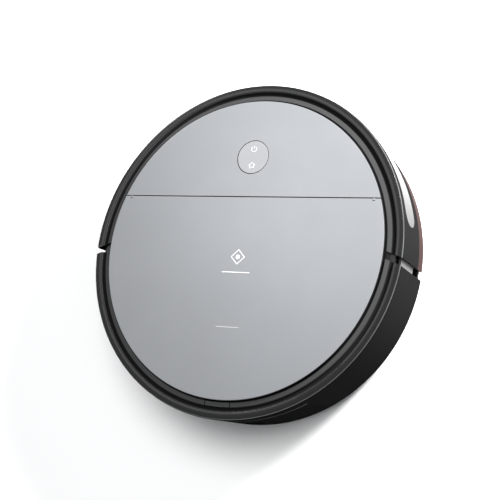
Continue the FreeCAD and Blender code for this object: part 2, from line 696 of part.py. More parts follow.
def make_chamber():
    outer = cylinder(CHAMBER + 2, 2 * CHAMBER_END + 4, (-CHAMBER_END - 2, ROLLER_Y, ROLLER_HEIGHT), "x")
    inner = cylinder(CHAMBER, 2 * CHAMBER_END, (-CHAMBER_END, ROLLER_Y, ROLLER_HEIGHT), "x")
    above = box((-FAR, -100, BASE_TOP), (FAR, 0, 60))
    inlet = box((-60, -80, 17), (60, -60, 33))
    ends = cylinder(5.2, 200, (-100, ROLLER_Y, ROLLER_HEIGHT), "x")
    trough = cut(common(outer, above), [inner, inlet, ends])
    bearing = box((-CHAMBER_END - 9, ROLLER_Y - 8, BASE_TOP),
                  (-CHAMBER_END - 2, ROLLER_Y + 8, ROLLER_HEIGHT + 8))
    bore = cylinder(3 + RUN, 40, (-110, ROLLER_Y, ROLLER_HEIGHT), "x")
    keep("brush_chamber", fuse([trough, cut(bearing, [bore])]))
    case = box((CHAMBER_END + 2, ROLLER_Y - 12, BASE_TOP + 1), (CHAMBER_END + 10, 6, ROLLER_HEIGHT + 16))
    motor = cylinder(10.5, 52, (CHAMBER_END - 50, -5, ROLLER_HEIGHT + 4), "x")
    bore = cylinder(3 + RUN, 40, (70, ROLLER_Y, ROLLER_HEIGHT), "x")
    keep("roller_motor", cut(fuse([case, motor]), [bore]))


def roller_vane(inner, outer, thickness, degrees, twist_steps):
    """One row along the roller, in straight stretches that step round it."""
    half = number(S["roller_half_length"])
    length = 2 * half / twist_steps
    rows = []
    for i in range(twist_steps):
        shift = abs(2 * i + 1 - twist_steps) / twist_steps * 30
        turn = Rotation(Vector(1, 0, 0), degrees + shift)
        row = box((0, 0, 0), (length, thickness, outer - inner))
        corner = turn.multVec(Vector(0, -thickness / 2, inner))
        axis_point = Vector(-half + i * length, number(ROLLER_Y), number(ROLLER_HEIGHT))
        row.Placement = Placement(axis_point + corner, turn)
        rows.append(row)
    return fuse(rows)


def make_roller():
    half = S["roller_half_length"]
    core = cylinder(8.5, 2 * half, (-half, ROLLER_Y, ROLLER_HEIGHT), "x")
    caps = [cylinder(11.5, 1.5, (x, ROLLER_Y, ROLLER_HEIGHT), "x") for x in (-half - 1.5, half)]
    shaft = cylinder(3.0, 2 * CHAMBER_END + 16, (-CHAMBER_END - 8, ROLLER_Y, ROLLER_HEIGHT), "x")
    keep("roller_core", fuse([core, shaft] + caps))
    blades = [roller_vane(8.5, 20.0, 2.2, a, 8) for a in (0, 120, 240)]
    rows = [roller_vane(8.5, number(S["roller_radius"]), 3.2, a, 8) for a in (60, 180, 300)]
    keep("roller_blades", group(blades))
    keep("roller_bristles", group(rows))


# --- wheels ---

def mirror_x(side, low, high):
    """A span across the robot, on the right for side 1 and on the left for side -1."""
    return (low, high) if side > 0 else (-high, -low)


def rod_x(radius, side, low, high, y, z):
    a, b = mirror_x(side, low, high)
    return cylinder(radius, b - a, (a, y, z), "x")


def block_x(side, low, high):
    a, b = mirror_x(side, low[0], high[0])
    return box((a, low[1], low[2]), (b, high[1], high[2]))


def make_wheel(name, side):
    near, far = WHEEL_X, WHEEL_X + S["wheel_width"]
    tyre = cut(rod_x(S["wheel_radius"], side, near, far, AXLE_Y, AXLE_HEIGHT),
               [rod_x(S["wheel_radius"] - 5, side, near - 1, far + 1, AXLE_Y, AXLE_HEIGHT)])
    grooves = []
    for i in range(30):
        groove = block_x(side, (near - 1, -1.2, S["wheel_radius"] - 1.5),
                         (far + 1, 1.2, S["wheel_radius"] + 2))
        grooves.append(turned(groove, 12 * i + 6, (0, 0, 0), (1, 0, 0)))
    ring = group(grooves)
    ring.Placement = Placement(Vector(0, number(AXLE_Y), number(AXLE_HEIGHT)), Rotation())
    keep(f"{name}_tyre", cut(tyre, [ring]))
    disc = rod_x(S["wheel_radius"] - 5, side, near, far, AXLE_Y, AXLE_HEIGHT)
    dish = rod_x(S["wheel_radius"] - 8, side, far - 3, far + 1, AXLE_Y, AXLE_HEIGHT)
    back = rod_x(S["wheel_radius"] - 8, side, near - 1, far - 7, AXLE_Y, AXLE_HEIGHT)
    boss = rod_x(9.0, side, near, far - 1.4, AXLE_Y, AXLE_HEIGHT)
    axle = rod_x(3.0, side, ARM_X + 2, near + 1, AXLE_Y, AXLE_HEIGHT)
    holes = []
    for i in range(5):
        y, z = polar(17.0, 72 * i + 90)
        holes.append(rod_x(4.6, side, near - 1, far + 1, AXLE_Y + y, AXLE_HEIGHT + z))
    keep(f"{name}_wheel_hub", fuse([cut(disc, [dish, back] + holes), boss, axle]))


def make_drive_arm(name, side):
    plain = (ARM_X, ARM_END)
    hub = rod_x(19.0, side, *plain, AXLE_Y, AXLE_HEIGHT)
    eye = rod_x(7.0, side, *plain, PIVOT_Y, PIVOT_HEIGHT)
    beam = block_x(side, (ARM_X, AXLE_Y, AXLE_HEIGHT - 4), (ARM_END, PIVOT_Y, AXLE_HEIGHT + 9))
    seat = block_x(side, (ARM_X, AXLE_Y + 8, AXLE_HEIGHT + 10), (ARM_END, AXLE_Y + 20, AXLE_HEIGHT + 18))
    axle_bore = rod_x(3 + RUN, side, ARM_X + 1.5, ARM_END + 1, AXLE_Y, AXLE_HEIGHT)
    pivot_bore = rod_x(2 + RUN, side, ARM_X - 1, ARM_END + 1, PIVOT_Y, PIVOT_HEIGHT)
    motor = rod_x(9.0, side, ARM_X - 30, ARM_X, 20, 40)
    keep(f"{name}_drive_arm", cut(fuse([hub, eye, beam, seat, motor]), [axle_bore, pivot_bore]))
    keep(f"{name}_suspension_spring", coil(
        4.2, 0.5, AXLE_HEIGHT + 18.0, BAY_FOOT, 5,
        (side * number((ARM_X + ARM_END) / 2), number(AXLE_Y) + 14)))


def coil(radius, wire, low, high, turns, place, axis="z"):
    """A compression spring, one solid, swept along its helix."""
    low, high = number(low) + wire, number(high) - wire
    helix = Part.makeHelix((high - low) / turns, high - low, radius)
    ring = Part.Wire(Part.makeCircle(wire, Vector(radius, 0, 0), Vector(0, 1, 0)))
    spring = Part.Wire(helix.Edges).makePipeShell([ring], True, True)
    item = doc.addObject("Part::Feature", "Spring")
    item.Shape = spring
    if axis == "z":
        item.Placement = Placement(Vector(place[0], place[1], low), Rotation())
    else:
        item.Placement = Placement(Vector(place[0], low, place[1]), Rotation(Vector(1, 0, 0), -90))
    return item


def pivot_brackets():
    """Two ears on the base for each suspension pin."""
    ears = []
    for side in (1, -1):
        hole = rod_x(2.0, side, 80.0, 120.0, PIVOT_Y, PIVOT_HEIGHT)
        for low, high in ((ARM_X - 3.6, ARM_X - 0.6), (ARM_END + 0.6, ARM_END + 3.6)):
            ear = block_x(side, (low, PIVOT_Y - 3.8, BASE_FOOT), (high, PIVOT_Y + 3.8, PIVOT_HEIGHT))
            cap = rod_x(3.8, side, low, high, PIVOT_Y, PIVOT_HEIGHT)
            ears.append(cut(fuse([ear, cap]), [hole]))
    return ears


def make_pivots():
    keep("pivot_pins", group([rod_x(2.0, side, ARM_X - 3.6, ARM_END + 3.6, PIVOT_Y, PIVOT_HEIGHT)
                              for side in (1, -1)]))


# --- caster ---

CASTER_AXLE_Y = CASTER_Y - S["caster_trail"]
CASTER_RADIUS = S["caster_radius"]


def make_caster():
    cup = revolved([
        (17.4, BASE_TOP), (19.0, BASE_TOP), (19.0, 27.0), (6.5, 27.0), (6.5, 38.0),
        (4 + RUN, 38.0), (4 + RUN, 24.8), (17.4, 24.8),
    ], at=(0, CASTER_Y, 0))
    keep("caster_socket", cup)
    dome = revolved([
        (0.0, 8.0), (14.5, 8.0), (16.8, 10.3, 16.1, 8.7), (16.8, 22.0), (14.5, 24.2, 16.1, 23.5),
        (4.0, 24.2), (4.0, 37.0), (0.0, 37.0),
    ], at=(0, CASTER_Y, 0))
    pocket = box((-7.2, CASTER_AXLE_Y - 11, 0), (7.2, CASTER_AXLE_Y + 11, 21))
    pin = cylinder(1.5, 40, (-20, CASTER_AXLE_Y, CASTER_RADIUS), "x")
    keep("caster_fork", cut(dome, [pocket, pin]))
    keep("caster_axle", cylinder(1.5, 24, (-12, CASTER_AXLE_Y, CASTER_RADIUS), "x"))
    wheel = revolved([
        (1.5 + RUN, -6.5), (8.4, -6.5), (10.0, -4.9, 9.53, -6.03), (10.0, 4.9),
        (8.4, 6.5, 9.53, 6.03), (1.5 + RUN, 6.5),
    ], at=(0, CASTER_AXLE_Y, CASTER_RADIUS), turn=((0, 1, 0), 90))
    keep("caster_wheel", wheel)


# --- side brushes ---

BRUSH_TURN = 10.0


def brush_arm(length_start, length_end):
    """One drooping rubber arm, pointing along +X from the brush axis, seen from its side."""
    a, b = length_start, length_end
    middle = (a + b) / 2
    points = [(a - 3, 6.4), (b, 1.9, middle, 5.6), (b, 3.9), (a - 3, 9.2, middle, 8.2)]
    return padded(points, 5.0, role="XZ_Plane", both_ways=True)


def brush_tuft(start, reach):
    """The fan of bristles at an arm's tip."""
    body = padded([(start, -1.6), (reach - 1.0, -6.4), (reach, 0.0), (reach - 1.0, 6.4), (start, 1.6)],
                  1.6, at=(0, 0, 2.1))
    body.Placement = Placement(Vector(0, 0, 2.6), Rotation(Vector(0, 1, 0), 0.6))
    return body


def spread(item_maker, directions, centre):
    items = []
    for degrees in directions:
        item = doc.addObject("Part::Compound", "Turned")
        item.Links = [item_maker()]
        item.Placement = Placement(Vector(*centre, 0), Rotation(Vector(0, 0, 1), degrees))
        items.append(item)
    return items


def make_side_brush(name, side):
    x, y = side * number(BRUSH_X), number(BRUSH_Y)
    inward = math.degrees(math.atan2(-y, -x)) - side * BRUSH_TURN
    directions = [inward, inward + 120, inward + 240]
    cup_radius = number(S["brush_cup_radius"])
    hub = revolved([
        (0.0, 4.6), (9.0, 4.6), (cup_radius, 6.6, 12.2, 5.2), (cup_radius, 8.6),
        (cup_radius - 1.2, 9.4), (7.0, 9.4), (7.0, 19.0), (6.2, 20.0), (2.2, 20.0), (2.2, 9.0), (0.0, 9.0),
    ], at=(x, y, 0))
    keep(f"{name}_brush_hub", fuse([hub, cylinder(2.2, 22.0, (x, y, 9.0))]))
    roots = spread(lambda: brush_arm(14.0, 42.0), directions, (x, y))
    trims = [cut(root, [cylinder(cup_radius + 0.02, 20, (x, y, 0))]) for root in roots]
    keep(f"{name}_brush_arms", group(trims))
    tufts = spread(lambda: brush_tuft(42.0, number(S["brush_reach"])), directions, (x, y))
    keep(f"{name}_brush_tufts", group(tufts))
    case = box((x - 15, y - 15, 22.0), (x + 15, y + 15, 44.0))
    feet = [box((x - 15 + i, y - 15 + j, BASE_TOP), (x - 9 + i, y - 9 + j, 22.0))
            for i in (0, 24) for j in (0, 24)]
    bore = cylinder(2.2 + RUN, 10.5, (x, y, 21.0))
    keep(f"{name}_brush_motor", cut(fuse([case] + feet), [bore]))


# --- dustbin ---

BIN_FRONT = S["bin_front_y"]
BIN_WALL = S["bin_wall"]


def bin_solid(skin, low, high):
    """The dustbin's block with its curved rear face, shrunk by skin all round."""
    side = BIN_SIDE - skin
    disc = revolved([(0.0, low), (wall_radius(low) - skin, low),
                     (wall_radius(high) - skin, high), (0.0, high)])
    return common(disc, box((-side, -FAR, low), (side, BIN_FRONT - skin, high)))


FLAP_PIN_Y = BIN_FRONT - 4.4
FLAP_PIN_HEIGHT = 38.6


def make_dustbin():
    inlet = box((-56, -90, 18), (56, -60, 36))
    outlet = box((-50, -90, 46), (50, -60, 57))
    lugs = [box((x - 2, BIN_FRONT - 7, 36), (x + 2, BIN_FRONT - 1, 41.5)) for x in (-60.5, 60.5)]
    flap_bore = cylinder(1.0 + RUN, 130, (-65, FLAP_PIN_Y, FLAP_PIN_HEIGHT), "x")
    tub = cut(bin_solid(0.0, BIN_FOOT, BIN_TOP), [bin_solid(BIN_WALL, BIN_FOOT + BIN_WALL, BIN_TOP + 1)])
    backing = common(bin_solid(0.6, BIN_FOOT, BIN_TOP), box((-33, -FAR, 20), (33, -150.5, 46)))
    grip = cylinder(9.0, 60, (-30, -163.5, 33.0), "x")
    keep("bin_tub", cut(fuse([tub, backing] + lugs), [inlet, outlet, flap_bore, grip]))
    keep("bin_cover", bin_solid(0.0, BIN_TOP, BIN_COVER_TOP))
    frame = cut(box((-52, BIN_FRONT - 16, 44.5), (52, BIN_FRONT - BIN_WALL, 58.5)),
                [box((-49, -100, 47), (49, -60, 56))])
    keep("filter_frame", frame)
    pleats = [box((-49 + 4.9 * i, BIN_FRONT - 14, 47), (-49 + 4.9 * i + 3.4, BIN_FRONT - 4, 56))
              for i in range(20)]
    web = box((-49, BIN_FRONT - 10, 47), (49, BIN_FRONT - 8, 56))
    keep("bin_filter", fuse([web] + pleats))
    flap = box((-57.6, FLAP_PIN_Y - 0.6, 18.6), (57.6, FLAP_PIN_Y + 0.6, FLAP_PIN_HEIGHT))
    pin = cylinder(1.0, 124, (-62, FLAP_PIN_Y, FLAP_PIN_HEIGHT), "x")
    keep("inlet_flap", fuse([flap, pin]))


# --- air path, power and electronics ---

def make_fan():
    y = S["fan_y"]
    r = S["fan_radius"]
    shell = revolved([
        (0.0, 14.0), (r, 14.0), (r, 48.0), (9.5, 48.0), (9.5, 46.2), (r - 1.8, 46.2),
        (r - 1.8, 15.8), (0.0, 15.8),
    ], at=(0, y, 0))
    port = box((-r - 5, y - 7, 32), (-r + 10, y + 7, 43))
    keep("fan_housing", cut(shell, [port]))
    keep("fan_motor", cut(cylinder(12.5, 14.2, (0, y, 15.8)), [cylinder(1.5 + RUN, 9, (0, y, 22.5))]))
    hub = revolved([(0.0, 23.0), (1.5, 23.0), (1.5, 31.5), (19.0, 31.5), (19.0, 32.9), (8.0, 33.6),
                    (4.0, 43.0), (0.0, 44.0)], at=(0, y, 0))
    blades = []
    for i in range(9):
        blade = padded([(5.0, -0.6), (18.8, -4.6), (18.8, -3.6), (5.0, 0.6)], 9.5)
        blade.Placement = Placement(Vector(0, number(y), 32.7), Rotation(Vector(0, 0, 1), 40 * i))
        blades.append(blade)
    keep("impeller", fuse([hub] + blades))
    duct = box((-52, BIN_FRONT + 1.0, 51.0), (52, y + 26, 66.0))
    space = box((-50.4, BIN_FRONT - 1, 52.6), (50.4, y + 24.4, 64.4))
    hole = cylinder(9.5, 10, (0, y, 45))
    drop = tube(11.0, 9.5, 3.0, (0, y, 48.0))
    keep("air_duct", fuse([cut(duct, [space, hole]), drop]))


def make_power():
    cells = [cylinder(9.2, 65, (-28.2 + 18.8 * i, 33, 23.5), "y") for i in range(4)]
    keep("battery_cells", group(cells))
    board = box((-58, 38, 51.0), (58, 92, 52.6))
    chips = [box((x, y, 52.6), (x + w, y + d, 52.6 + t)) for x, y, w, d, t in
             ((-40, 50, 16, 16, 1.6), (-12, 60, 12, 9, 2.0), (14, 46, 20, 12, 6.0), (38, 70, 12, 12, 4.0),
              (-52, 78, 14, 8, 5.0), (-30, 80, 24, 7, 7.0))]
    keep("main_board", fuse([board] + chips))
    key_board = box((-24.5, S["key_y"] - 16, 67.0), (24.5, S["key_y"] + 16, 68.4))
    domes = [cylinder(3.0, 4.6, (0, y, 68.4)) for y in (S["key_y"] - 9, S["key_y"] + 9)]
    hangers = [cylinder(2.0, PLATE_FOOT - 2.6 - 68.4, (x, S["key_y"], 68.4)) for x in (-22, 22)]
    keep("key_board", fuse([key_board] + domes + hangers))
    x, y = SPEAKER_X, SPEAKER_Y
    rim = cylinder(13.0, 4, (x, y, BASE_TOP))
    basket = cone(9.0, 6.5, 6, (x, y, BASE_TOP + 4))
    magnet = cylinder(6.5, 3, (x, y, BASE_TOP + 10))
    keep("speaker", fuse([rim, basket, magnet]))


def make_bumper_switches():
    switches = []
    for x in (-SWITCH_X, SWITCH_X):
        case = box((x - 10, 124, 34), (x + 10, 130.4, 46))
        plunger = box((x - 1.5, 130, 38.5), (x + 1.5, 131.4, 41.5))
        post = cylinder(2.5, 34 - BASE_TOP, (x, 127, BASE_TOP))
        switches.append(fuse([case, plunger, post]))
    keep("bumper_switches", group(switches))


def make_bumper_springs():
    """Springs between the inner wall and the bumper."""
    springs = [coil(4.0, 0.5, 136.6, 151.2, 5, (x, 52.0), "y") for x in (-50, 50)]
    keep("bumper_springs", group(springs))


def make_rocker_case():
    """The sunk case of the power rocker in the floor of the bay."""
    x, y = ROCKER_X, ROCKER_Y
    case = box((x - 8, y - 11, 60.0), (x + 8, y + 11, BAY_TOP + 1.2))
    room = box((x - 6.2, y - 9.4, 62.0), (x + 6.2, y + 9.4, 80))
    bores = cylinder(1.0 + RUN, 30, (x - 15, y, 69.6), "x")
    return cut(case, [room, bores])


def make_power_rocker():
    x, y = ROCKER_X, ROCKER_Y
    body = padded([(y - 8.6, 70.0), (y - 3, 66.5), (y + 3, 66.5), (y + 8.6, 70.0), (y + 8.6, 73.2),
                   (y, 71.6), (y - 8.6, 73.2)], 11.6, role="YZ_Plane", at=(x, 0, 0), both_ways=True)
    pin = cylinder(1.0, 15, (x - 7.5, y, 69.6), "x")
    keep("power_rocker", fuse([body, pin]))


def make_all():
    make_bumper()
    make_rear_housing()
    make_top_deck()
    make_release_button()
    make_panels()
    make_key()
    make_base()
    make_base_fittings()
    make_chamber()
    make_roller()
    for name, side in (("right", 1), ("left", -1)):
        make_wheel(name, side)
        make_drive_arm(name, side)
        make_side_brush(name, side)
    make_pivots()
    make_caster()
    make_dustbin()
    make_fan()
    make_power()
    make_bumper_switches()
    make_bumper_springs()
    make_power_rocker()


def check_and_write():
    """Stop on any failed object or bad shape, then write each piece to its own file."""
    doc.recompute()
    failed = [o.Name for o in doc.Objects if {"Invalid", "Error"} & set(o.State)]
    if failed:
        raise RuntimeError(f"objects that failed: {failed}")
    bad = [n for n, p in pieces.items() if p.Shape.isNull() or not p.Shape.isValid() or not p.Shape.Solids]
    if bad:
        raise RuntimeError(f"pieces without a sound shape: {bad}")
    os.makedirs("parts", exist_ok=True)
    for name, piece in pieces.items():
        piece.Shape.exportStep(f"parts/{name}.step")
        bounds = piece.Shape.BoundBox
        print(f"{name:26s} solids {len(piece.Shape.Solids):2d}  volume {piece.Shape.Volume / 1000:8.2f} cm3 "
              f" z {bounds.ZMin:6.2f} to {bounds.ZMax:6.2f}")
    print(len(pieces), "pieces")


make_all()
check_and_write()
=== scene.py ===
"""The looks of the robotic floor cleaner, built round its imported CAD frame.

Every length is in metres, in the frame of the CAD: +X is the robot's right, +Y is forwards and +Z is up.
"""

import json
import math
import random

import bmesh
import bpy
from mathutils import Matrix, Vector

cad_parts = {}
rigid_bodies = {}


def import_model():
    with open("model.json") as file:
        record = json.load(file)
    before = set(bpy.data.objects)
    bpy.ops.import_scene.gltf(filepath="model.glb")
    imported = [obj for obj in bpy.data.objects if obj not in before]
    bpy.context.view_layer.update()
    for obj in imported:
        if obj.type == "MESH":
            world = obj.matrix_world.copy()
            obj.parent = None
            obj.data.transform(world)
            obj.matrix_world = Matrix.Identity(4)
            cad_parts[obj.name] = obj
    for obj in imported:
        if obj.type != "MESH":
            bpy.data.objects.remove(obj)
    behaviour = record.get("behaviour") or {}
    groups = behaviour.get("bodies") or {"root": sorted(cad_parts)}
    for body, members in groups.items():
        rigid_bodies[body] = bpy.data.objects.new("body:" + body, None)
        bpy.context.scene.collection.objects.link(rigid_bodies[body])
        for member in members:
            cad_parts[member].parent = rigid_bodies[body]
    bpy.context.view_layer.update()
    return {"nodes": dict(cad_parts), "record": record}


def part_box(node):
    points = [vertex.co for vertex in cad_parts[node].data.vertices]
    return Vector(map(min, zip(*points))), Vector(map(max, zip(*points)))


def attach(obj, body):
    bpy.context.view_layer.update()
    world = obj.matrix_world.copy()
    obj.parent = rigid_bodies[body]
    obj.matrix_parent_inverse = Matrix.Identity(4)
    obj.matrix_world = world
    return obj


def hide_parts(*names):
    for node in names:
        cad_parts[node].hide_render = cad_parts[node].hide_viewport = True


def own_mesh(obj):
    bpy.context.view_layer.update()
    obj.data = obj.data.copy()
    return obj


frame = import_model()
nodes = frame["nodes"]

MM = 0.001
SEED = 41
PLATE_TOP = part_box("lid_panel")[1].z
chance = random.Random(SEED)


# --- places read from the frame ---

def centre_of(node):
    low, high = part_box(node)
    return (low + high) / 2


ROLLER_AXIS = centre_of("roller_core")
ROLLER_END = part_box("roller_blades")[1].x


# --- materials ---

# Most of a noise texture's values lie between these two.
NOISE_LOW = 0.3
NOISE_HIGH = 0.7

# How much lighter than its material a grain or a rubbed corner is.
GRAIN_SHADE = 1.9
RUBBED_SHADE = 2.2

# A corner is where the bevelled normal and the true one agree less than they do on a flat face.
BEVEL_SAMPLES = 4
CORNER_AGREEMENT = 0.86
FLAT_AGREEMENT = 0.99
PATCH_SIZE = 9 * MM


class Finish:
    """One procedural material. Its textures are placed in object coordinates, so sizes are in metres.

    Each material takes a mottle first, then any other patterns, a gloss, a texture if it has a grain,
    and last done().
    """

    def __init__(self, name, colour, roughness, metallic=0.0):
        self.material = bpy.data.materials.new(name)
        self.material.use_nodes = True
        self.tree = self.material.node_tree
        self.tree.nodes.clear()
        self.shader = self.add("BsdfPrincipled")
        output = self.add("OutputMaterial")
        self.link(self.shader.outputs["BSDF"], output.inputs["Surface"])
        self.place = self.add("TexCoord").outputs["Object"]
        self.colour = tuple(colour)
        self.roughness = roughness
        self.set("Metallic", metallic)
        self.tint = self.colour
        self.height = None

    def add(self, kind):
        return self.tree.nodes.new("ShaderNode" + kind)

    def link(self, source, target):
        self.tree.links.new(source, target)

    def set(self, socket, value):
        """Sets a value that is the same all over the surface."""
        self.shader.inputs[socket].default_value = value
        return self

    def noise(self, size, detail, stretch=(1, 1, 1)):
        """Noise whose lumps are about size across, longer along an axis where stretch is small."""
        mapping = self.add("Mapping")
        self.link(self.place, mapping.inputs["Vector"])
        mapping.inputs["Scale"].default_value = stretch
        texture = self.add("TexNoise")
        texture.inputs["Scale"].default_value = 1.0 / size
        texture.inputs["Detail"].default_value = detail
        self.link(mapping.outputs["Vector"], texture.inputs["Vector"])
        return texture.outputs["Fac"]

    def remap(self, value, low, high, start=NOISE_LOW, end=NOISE_HIGH):
        """Takes start..end to low..high, and holds it there."""
        ramp = self.add("MapRange")
        ramp.inputs["From Min"].default_value = start
        ramp.inputs["From Max"].default_value = end
        ramp.inputs["To Min"].default_value = low
        ramp.inputs["To Max"].default_value = high
        self.link(value, ramp.inputs["Value"])
        return ramp.outputs["Result"]

    def times(self, first, second):
        product = self.add("Math")
        product.operation = "MULTIPLY"
        self.link(first, product.inputs[0])
        self.link(second, product.inputs[1])
        return product.outputs["Value"]

    def blend(self, factor, first, second):
        """Mixes two colours; each is a socket or a plain colour."""
        mix = self.add("Mix")
        mix.data_type = "RGBA"
        self.link(factor, mix.inputs["Factor"])
        for name, colour in (("A", first), ("B", second)):
            socket = next(s for s in mix.inputs if s.name == name and s.type == "RGBA")
            if isinstance(colour, tuple):
                socket.default_value = (*colour, 1.0)
            else:
                self.link(colour, socket)
        return next(s for s in mix.outputs if s.type == "RGBA")

    def shade(self, factor):
        """The material's own colour, lighter or darker."""
        return tuple(min(1.0, c * factor) for c in self.colour)

    def mottle(self, size, amount):
        """Slow drift of the colour between a darker and a lighter shade."""
        drift = self.remap(self.noise(size, 3.0), 0.0, 1.0)
        self.tint = self.blend(drift, self.shade(1.0 - amount), self.shade(1.0 + amount))
        return self

    def speckle(self, size, amount):
        """Fine lighter grains over the colour."""
        light = self.remap(self.noise(size, 1.0), 0.0, amount, start=0.5, end=0.75)
        self.tint = self.blend(light, self.tint, self.shade(GRAIN_SHADE))
        return self

    def worn_edges(self, radius, amount, colour=None):
        """Rubbed, lighter corners, patchy along their length. Bevelled normals find the corners."""
        bevel = self.add("Bevel")
        bevel.samples = BEVEL_SAMPLES
        bevel.inputs["Radius"].default_value = radius
        facing = self.add("VectorMath")
        facing.operation = "DOT_PRODUCT"
        self.link(bevel.outputs["Normal"], facing.inputs[0])
        self.link(self.add("NewGeometry").outputs["Normal"], facing.inputs[1])
        corner = self.remap(facing.outputs["Value"], amount, 0.0, CORNER_AGREEMENT, FLAT_AGREEMENT)
        patches = self.remap(self.noise(PATCH_SIZE, 4.0), 0.2, 1.0)
        rubbed = self.times(corner, patches)
        self.tint = self.blend(rubbed, self.tint, colour or self.shade(RUBBED_SHADE))
        return self

    def above(self, height, softness):
        """0 below a height over the floor and 1 above it."""
        split = self.add("SeparateXYZ")
        self.link(self.place, split.inputs["Vector"])
        return self.remap(split.outputs["Z"], 0.0, 1.0, height - softness, height + softness)

    def gloss(self, size, spread):
        """Roughness that wanders either side of its middle value, as handling leaves it."""
        low, high = self.roughness - spread, self.roughness + spread
        self.link(self.remap(self.noise(size, 4.0), low, high), self.shader.inputs["Roughness"])
        return self

    def texture(self, size, depth, detail=1.0, stretch=(1, 1, 1)):
        """A surface grain of that size and depth, laid over any grain already there."""
        bump = self.add("Bump")
        bump.inputs["Distance"].default_value = depth
        bump.inputs["Strength"].default_value = 1.0
        self.link(self.noise(size, detail, stretch), bump.inputs["Height"])
        if self.height is not None:
            self.link(self.height.outputs["Normal"], bump.inputs["Normal"])
        self.height = bump
        return self

    def done(self):
        """Joins the colour, and the grain if there is any, to the shader."""
        self.link(self.tint, self.shader.inputs["Base Color"])
        if self.height is not None:
            self.link(self.height.outputs["Normal"], self.shader.inputs["Normal"])
        return self.material


# The paint ends a little below the plate's top, and from there down the rim is coloured dark: painted shade
# that stands for the dark line round the panel's edge and keeps its bevel from catching a highlight. The
# key's top is
# 0.1 mm below the plate's, so the paint has to reach lower than that.
PAINT_DEPTH = 0.16 * MM
PAINT_SOFTNESS = 0.03 * MM
PLATE_RIM_PAINTED_SHADE = (0.02, 0.02, 0.021)


def painted_plate(name, colour, roughness):
    """Satin paint with metal flake, fine bright flakes under a faint orange peel. Below the paint the panel's
    rim is coloured dark, as painted shade."""
    paint = Finish(name, colour, roughness, metallic=0.62)
    paint.mottle(90 * MM, 0.025).speckle(0.2 * MM, 0.2)
    top = paint.above(PLATE_TOP - PAINT_DEPTH, PAINT_SOFTNESS)
    # Painted shade: the rim below the top takes a dark colour instead of the paint.
    paint.tint = paint.blend(top, PLATE_RIM_PAINTED_SHADE, paint.tint)
    paint.gloss(40 * MM, 0.025).texture(1.6 * MM, 0.004 * MM).texture(0.3 * MM, 0.002 * MM)
    paint.set("Coat Weight", 0.12).set("Coat Roughness", 0.28)
    return paint.done()


def moulded(name, colour, roughness, grain=0.45 * MM, depth=0.012 * MM, wear=0.3, coat=0.0, mirror=0.5):
    """Injection moulded plastic with a spark eroded grain."""
    plastic = Finish(name, colour, roughness)
    plastic.mottle(60 * MM, 0.04).speckle(grain, 0.1).worn_edges(0.45 * MM, wear)
    plastic.gloss(25 * MM, min(0.02, roughness * 0.2)).texture(grain, depth, 2.0)
    plastic.set("Coat Weight", coat).set("Coat Roughness", 0.08).set("Specular IOR Level", mirror)
    return plastic.done()


# The shell is one black moulding. Its lip is painted lighter and its crest darker than the wall: painted
# light and shade, set by height.
WALL_BLACK = (0.007, 0.007, 0.0071)
LIP_PAINTED_LIGHT = (0.027, 0.027, 0.0273)
CREST_PAINTED_SHADE = (0.004, 0.004, 0.0041)
SHELL_WORN = (0.018, 0.018, 0.0184)
LIP_HEIGHT = 74.4 * MM
LIP_SOFTNESS = 0.5 * MM
CREST_HEIGHT = 75.3 * MM
CREST_SOFTNESS = 0.15 * MM


def housing_plastic():
    """The outer shell, one black moulding: a matt black wall, a lip round the panels made lighter with
    painted light and a satin crest made darker with painted shade, both set by height. The lip and the crest
    have a clear coat, and the wall has none."""
    shell = Finish("housing_plastic", WALL_BLACK, 0.30)
    lip = shell.above(LIP_HEIGHT, LIP_SOFTNESS)
    crest = shell.above(CREST_HEIGHT, CREST_SOFTNESS)
    shell.mottle(60 * MM, 0.05)
    # Painted light on the lip and painted shade on the crest, by height over the floor.
    shell.tint = shell.blend(lip, shell.tint, LIP_PAINTED_LIGHT)
    shell.tint = shell.blend(crest, shell.tint, CREST_PAINTED_SHADE)
    shell.speckle(0.45 * MM, 0.05).worn_edges(0.3 * MM, 0.3, SHELL_WORN)
    shell.gloss(25 * MM, 0.02).texture(0.45 * MM, 0.004 * MM, 2.0)
    shell.link(lip, shell.shader.inputs["Coat Weight"])
    shell.set("Specular IOR Level", 0.0).set("Coat Roughness", 0.24).set("Coat IOR", 1.6)
    return shell.done()


def tinted_clear(name, colour, roughness, clearness, mirror):
    """Tinted clear plastic with hazy handling marks."""
    clear = Finish(name, colour, roughness)
    clear.mottle(20 * MM, 0.1).worn_edges(0.4 * MM, 0.25, clear.shade(1.6))
    clear.gloss(11 * MM, roughness * 0.4).texture(3 * MM, 0.004 * MM)
    clear.set("Transmission Weight", clearness).set("IOR", 1.49).set("Specular IOR Level", mirror)
    return clear.done()


def rubber(name, colour):
    """Matte rubber with dust in its grain."""
    skin = Finish(name, colour, 0.78)
    skin.mottle(12 * MM, 0.16).speckle(0.5 * MM, 0.12).worn_edges(0.5 * MM, 0.35)
    skin.gloss(6 * MM, 0.08).texture(0.35 * MM, 0.02 * MM, 3.0)
    skin.set("Specular IOR Level", 0.35).set("Sheen Weight", 0.12)
    return skin.done()


def brushed_metal(name, colour, roughness):
    """Metal with fine drawn lines along X."""
    metal = Finish(name, colour, roughness, metallic=1.0)
    metal.mottle(8 * MM, 0.06).worn_edges(0.25 * MM, 0.3)
    metal.gloss(5 * MM, 0.07).texture(0.12 * MM, 0.003 * MM, 2.0, stretch=(0.06, 1, 1))
    metal.set("Anisotropic", 0.35)
    return metal.done()


def bristle(name, colour):
    """Nylon bristles: each strand's own shade comes from noise finer than a tuft."""
    nylon = Finish(name, colour, 0.45)
    nylon.mottle(0.9 * MM, 0.3).speckle(6 * MM, 0.2)
    nylon.gloss(2 * MM, 0.1).texture(0.08 * MM, 0.004 * MM, 1.0)
    nylon.set("Sheen Weight", 0.2)
    return nylon.done()


